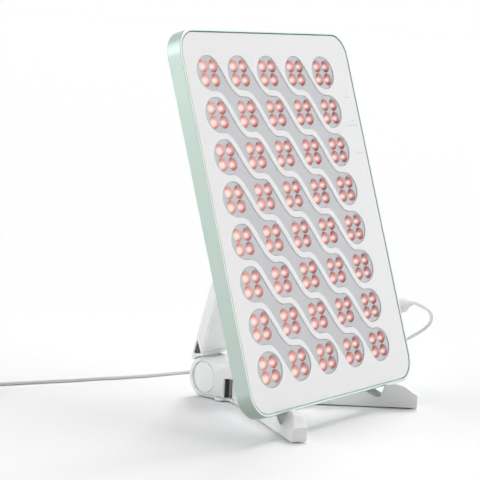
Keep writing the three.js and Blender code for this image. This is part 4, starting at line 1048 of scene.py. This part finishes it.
# %% [markdown]
# ## Hinge caps and the painted shade strips in the bay
# A round cap closes the shaft on each side of the hinge block. It has a shallow crown and sits
# a little below the rim of its pocket, so the pocket's wall draws a dark crescent round it.
# The legs turn in a bay at the front of the block. Beside the left one a narrow dark slit of shade
# shows, so a dark strip lies on each side of the bay's rear wall and shows through the gap: a dark
# piece that stands in for that shade, painted shade.

# %% Hinge caps
CAP_RADIUS, CAP_DEPTH, CAP_SUNK, CAP_CROWN, CAP_EDGE = 13.25, 2.4, 1.35, 0.6, 0.5
CROWN_STEPS = 8
HINGE_Y, HINGE_Z = 129.0, 18.6
BLOCK_WAIST, BLOCK_END, WAIST_Y, BARREL = 19.0, 12.0, 117.0, 17.3
SIDES = ((-1, "left"), (1, "right"))
facet_run = HINGE_Y + BARREL - WAIST_Y
facet_lean = math.atan2(BLOCK_WAIST - BLOCK_END, facet_run)
cap_x = BLOCK_WAIST - (BLOCK_WAIST - BLOCK_END) * (HINGE_Y - WAIST_Y) / facet_run
crown_radius = CAP_RADIUS - CAP_EDGE
cap_profile = [(0, SEAT_GAP - CAP_DEPTH), (CAP_RADIUS, SEAT_GAP - CAP_DEPTH)]
cap_profile += arc(crown_radius, -CAP_SUNK - CAP_EDGE, CAP_EDGE, 0, 90, 6)
for out in (1 - i / CROWN_STEPS for i in range(1, CROWN_STEPS + 1)):
    cap_profile.append((crown_radius * out, CAP_CROWN * (1 - out**2) - CAP_SUNK))
for side, word in SIDES:
    cap = turned(f"{word}_hinge_cap", cap_profile, "Z", 72)
    outwards = Matrix.Rotation(side * math.pi / 2, 4, "Y")
    along_facet = Matrix.Rotation(side * facet_lean, 4, "Z") @ outwards
    cap.data.transform(Matrix.Translation((side * cap_x, HINGE_Y, HINGE_Z)) @ along_facet)
    placed(cap, ON_TABLE, "root", "shell", [f"hinge_cap_{word}"], SHARP_TURNED)

# %% Bay strips of painted shade
BAY_REAR, BAY_ROOF, BLOCK_FLOOR = 106.5, 20.8, 3.8
STRIP_WIDTH, STRIP_X, STRIP_DEPTH, STRIP_CORNER = 6.0, 11.7, 0.55, 1.0
STRIP_ROOM, STRIP_GAP, STRIP_ROUND = 0.8, 0.05, 0.15
strip_up = (BAY_ROOF + BLOCK_FLOOR) / 2
strip_size = STRIP_WIDTH, BAY_ROOF - BLOCK_FLOOR - STRIP_ROOM, STRIP_CORNER
strip_depths = BAY_REAR - STRIP_DEPTH - STRIP_GAP, BAY_REAR - STRIP_GAP
# A dark strip on each side stands in for the shade in the bay's gap: painted shade.
for side, word in SIDES:
    outline = rounded_rectangle(*strip_size, side * STRIP_X, strip_up, 4)
    strip = flat_shape(f"{word}_bay_painted_shade_strip", outline, [], *strip_depths, STRIP_ROUND)
    placed(strip, ON_TABLE, "root", "dark")

# %% [markdown]
# ## Pieces that keep their CAD shape
# Flat covers, boards, pads and pins are right as they are. Each gets a finish, and most get a
# small rounded edge. The edge comes from live modifiers: the loose triangles are welded, coplanar
# ones dissolved so that only real edges are left, and those are bevelled.


# %% Soften the CAD nodes that stay
def kept(node, finish, edge):
    """Gives a CAD node its finish and, where an edge is given, rounded edges by live modifiers."""
    piece = cad_nodes[node]
    for slot in piece.material_slots:
        slot.material = finishes[finish]
    if edge:
        corner, flat = math.radians(40), math.radians(1)
        modified(piece, "WELD", merge_threshold=CAD_WELD)
        modified(piece, "DECIMATE", decimate_type="DISSOLVE", angle_limit=flat)
        rounding = {"width": edge * MM, "segments": 3, "harden_normals": False}
        modified(piece, "BEVEL", limit_method="ANGLE", angle_limit=corner, **rounding)


# Finish, rounding of the edges in mm, CAD nodes.
for finish, edge, nodes in [
    ("shell", 0.5, ["arm_front_cover"]),
    ("shell", 0.3, ["base_plate"]),
    # The arm inserts are dark plastic, and in the recess at the arm's foot their darkness also
    # stands in for that recess's shade: painted shade.
    ("dark", 0.2, ["arm_insert_left", "arm_insert_right"]),
    ("dark", 0.15, ["coil_tie"]),
    ("dark", 0, ["dc_jack"]),
    ("rubber", 0.4, ["arm_pad"]),
    ("rubber", 0.2, ["base_pad_rear", "base_pad_front", "left_foot_pad", "right_foot_pad"]),
    ("steel", 0, ["leg_pin_left", "leg_pin_right", "hinge_shaft"]),
    ("steel", 0, ["friction_washer_left", "friction_washer_right"]),
    ("sheet", 0, ["heat_spreader"]),
    ("green_board", 0, ["driver_board", "touch_board"]),
    ("led_board", 0, [f"led_board_{i + 1}" for i in range(ROWS)]),
    ("blade", 0.25, ["adapter_blade_left", "adapter_blade_right"]),
    ("adapter", 1.4, ["adapter_body"]),
]:
    for node in nodes:
        kept(node, finish, edge)
print("kept from CAD:", sum(not o.hide_render for o in cad_nodes.values()))

# %% [markdown]
# ## Plug, strain reliefs and adapter
# The plug is one moulding: a collar against the panel, a waist to grip and a tapered relief
# with ribs, so that the lead never bends sharply. Both reliefs are turned, with a groove
# between each pair of ribs. The adapter is a generic box with rounded edges and a parting line.

# %% Plug
PLUG_RADIUS, WAIST_RADIUS, PIN_RADIUS, PIN_START = 6.75, 6.3, 2.75, 111.4
GROOVE_START, GROOVE_END, GROOVE_SLOPE = 126.2, 128.0, 0.5
plug_profile = [
    (0, PIN_START), (PIN_RADIUS - 0.3, PIN_START), (PIN_RADIUS, PIN_START + 0.3),
    (PIN_RADIUS, PLUG_START), (PLUG_RADIUS - 0.4, PLUG_START), (PLUG_RADIUS, PLUG_START + 0.4),
    (PLUG_RADIUS, GROOVE_START), (WAIST_RADIUS, GROOVE_START + GROOVE_SLOPE),
    (WAIST_RADIUS, GROOVE_END - GROOVE_SLOPE), (PLUG_RADIUS, GROOVE_END),
    (PLUG_RADIUS, PLUG_END - 3.0), (PLUG_RADIUS - 0.25, PLUG_END - 1.5),
    (PLUG_RADIUS - 0.95, PLUG_END - 0.5), (PLUG_RADIUS - 2.0, PLUG_END), (0, PLUG_END),
]
plug = moved(turned("plug", plug_profile, "X"), 0, JACK_DEPTH, JACK_UP)
placed(plug, ON_PANEL, "panel", "lead", ["dc_plug"], SHARP_TURNED)

# %% A ribbed relief
RIBS_FROM, RIBS_OVER, RIB_DEPTH, END_ROUND = 0.12, 0.74, 0.35, 0.25
RIB_SHAPE = ((0.25, 0.0), (0.4, RIB_DEPTH), (0.75, RIB_DEPTH), (0.9, 0.0))


def ribbed(length, root, tip, ribs):
    """A tapered relief's profile with a groove for each rib, as (radius, along) points."""
    points = [(0, 0), (root - END_ROUND, 0), (root, END_ROUND)]
    for i in range(ribs):
        start = length * (RIBS_FROM + RIBS_OVER * i / ribs)
        width = length * RIBS_OVER / ribs
        for share, cut in RIB_SHAPE:
            along = start + width * share
            points.append((root + (tip - root) * along / length - cut, along))
    return [*points, (tip, length - 0.3), (tip - END_ROUND, length), (0, length)]


RELIEF_ROOT, RELIEF_TIP, PLUG_RELIEF_LENGTH, PLUG_RIBS = 4.2, 2.3, 12.7, 4
relief_profile = ribbed(PLUG_RELIEF_LENGTH, RELIEF_ROOT, RELIEF_TIP, PLUG_RIBS)
relief = turned("plug_relief", relief_profile, "X", 40)
moved(relief, PLUG_END + SEAT_GAP, JACK_DEPTH, JACK_UP)
placed(relief, ON_PANEL, "panel", "lead", ["plug_strain_relief"], SHARP_TURNED)

# %% Adapter's relief and parting line
ADAPTER_LENGTH, ADAPTER_WIDTH, ADAPTER_CORNER = 75.0, 45.0, 6.0
RELIEF_LENGTH, ADAPTER_RIBS = 25.0, 6
SEAM_PROFILE = [(0.3, -0.7), (-0.12, -0.4), (-0.12, 0.4), (0.3, 0.7)]
exit_x, exit_y, exit_up = map(float, coil_exit)
relief_start = exit_x - CORD_GAP
relief_profile = ribbed(RELIEF_LENGTH, RELIEF_ROOT, RELIEF_TIP, ADAPTER_RIBS)
adapter_relief = turned("adapter_relief", relief_profile, "X", 40)
moved(adapter_relief, relief_start - RELIEF_LENGTH, exit_y, exit_up)
placed(
    adapter_relief, ON_TABLE, "root", "lead", ["adapter_strain_relief"], SHARP_TURNED
)
adapter_x = relief_start - RELIEF_LENGTH - SEAT_GAP - ADAPTER_LENGTH / 2
seam_rings = []
for inset, rise in SEAM_PROFILE:
    sizes = ADAPTER_LENGTH - 2 * inset, ADAPTER_WIDTH - 2 * inset, ADAPTER_CORNER - inset
    outline = rounded_rectangle(*sizes, adapter_x, exit_y, 12)
    seam_rings.append([(x, y, exit_up + rise) for x, y in outline])
seam = skinned("adapter_seam", seam_rings)
placed(seam, ON_TABLE, "root", "adapter")

# %% [markdown]
# ## The lead's finish and its two ends
# One end of the lead is fixed to the panel, the other lies on the table. When the panel leans
# back, the loop has to give. Here the lead gets its finish, the CAD lead and coil are hidden, its
# mesh is moved to its place, and its two ends are found: the tip of the plug's relief and where it
# first lies on the table.

# %% Lead
lead.data.materials.append(finishes["lead"])
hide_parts("power_cord", "cord_coil")
floor_touch = ON_TABLE @ Vector(LEAD_ROUTE[FIRST_ON_TABLE])
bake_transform(lead)
ends = [[round(v, 3) for v in point] for point in (relief_tip, floor_touch)]
print("lead blended from", ends[0], "to", ends[1])

# %% [markdown]
# ## Table, light and white background
# The lamp stands on a plain near-white table under soft light. A uniform world gives the soft
# fill. Wide suns stand in for softboxes, because a sun's light is the same everywhere and its
# width sets how soft the shadow is. The strengths add up so that a level white surface renders
# as it is written. Seen directly or in a reflection the world is plain white.

# %% Table
TABLE_REACH = 40
table_mesh = bpy.data.meshes.new("table")
low, high = -TABLE_REACH, TABLE_REACH
corners = [(low, low, 0), (high, low, 0), (high, high, 0), (low, high, 0)]
table_mesh.from_pydata(corners, [], [(0, 1, 2, 3)])
table = linked("table", table_mesh)
table_paper, _, table_shader = started("matt white paper", Roughness=0.95, IOR=1.3)
table_shader.inputs["Base Color"].default_value = linear("FCFCFD")
table_mesh.materials.append(table_paper)
print("table:", 2 * TABLE_REACH, "m square, facing up:", table_mesh.polygons[0].normal.z > 0)

# %% World
AMBIENT = 0.12
world = bpy.data.worlds.new("studio")
world.use_nodes = True
bpy.context.scene.world = world
world_tree = world.node_tree
background = world_tree.nodes["Background"]
rays = add(world_tree, "ShaderNodeLightPath").outputs
seen = rays["Is Camera Ray"]
for ray in ("Is Glossy Ray", "Is Transmission Ray"):
    seen = add(world_tree, MATH, {0: seen, 1: rays[ray]}, operation="MAXIMUM").outputs[0]
shown = {"Value": seen, "To Min": AMBIENT, "To Max": 1.0}
strength = add(world_tree, "ShaderNodeMapRange", shown)
background.inputs["Color"].default_value = (1.0, 1.0, 1.0, 1.0)
world_tree.links.new(strength.outputs[0], background.inputs["Strength"])
print("world: white where it is seen,", AMBIENT, "as light")


# %% Suns
def sun(name, azimuth, elevation, level, width):
    """A soft sun, 0 in front and 90 on the left. Level is what it gives a surface facing it."""
    light = bpy.data.lights.new(name, "SUN")
    light.energy = math.pi * level
    light.angle = math.radians(width)
    lamp = linked(name, light)
    a, e = math.radians(azimuth), math.radians(elevation)
    towards = Vector((-math.sin(a) * math.cos(e), -math.cos(a) * math.cos(e), math.sin(e)))
    lamp.rotation_euler = towards.to_track_quat("Z", "Y").to_euler()
    return level * math.sin(e)


flat_level = AMBIENT
flat_level += sun("front softbox", azimuth=-54, elevation=36, level=0.6, width=85)
flat_level += sun("rear softbox", azimuth=245, elevation=50, level=0.44, width=28)
flat_level += sun("side softbox", azimuth=126, elevation=24, level=0.44, width=60)
print(f"light level on the table: {flat_level:.3f}")

# %% Last update of the scene
bpy.context.view_layer.update()
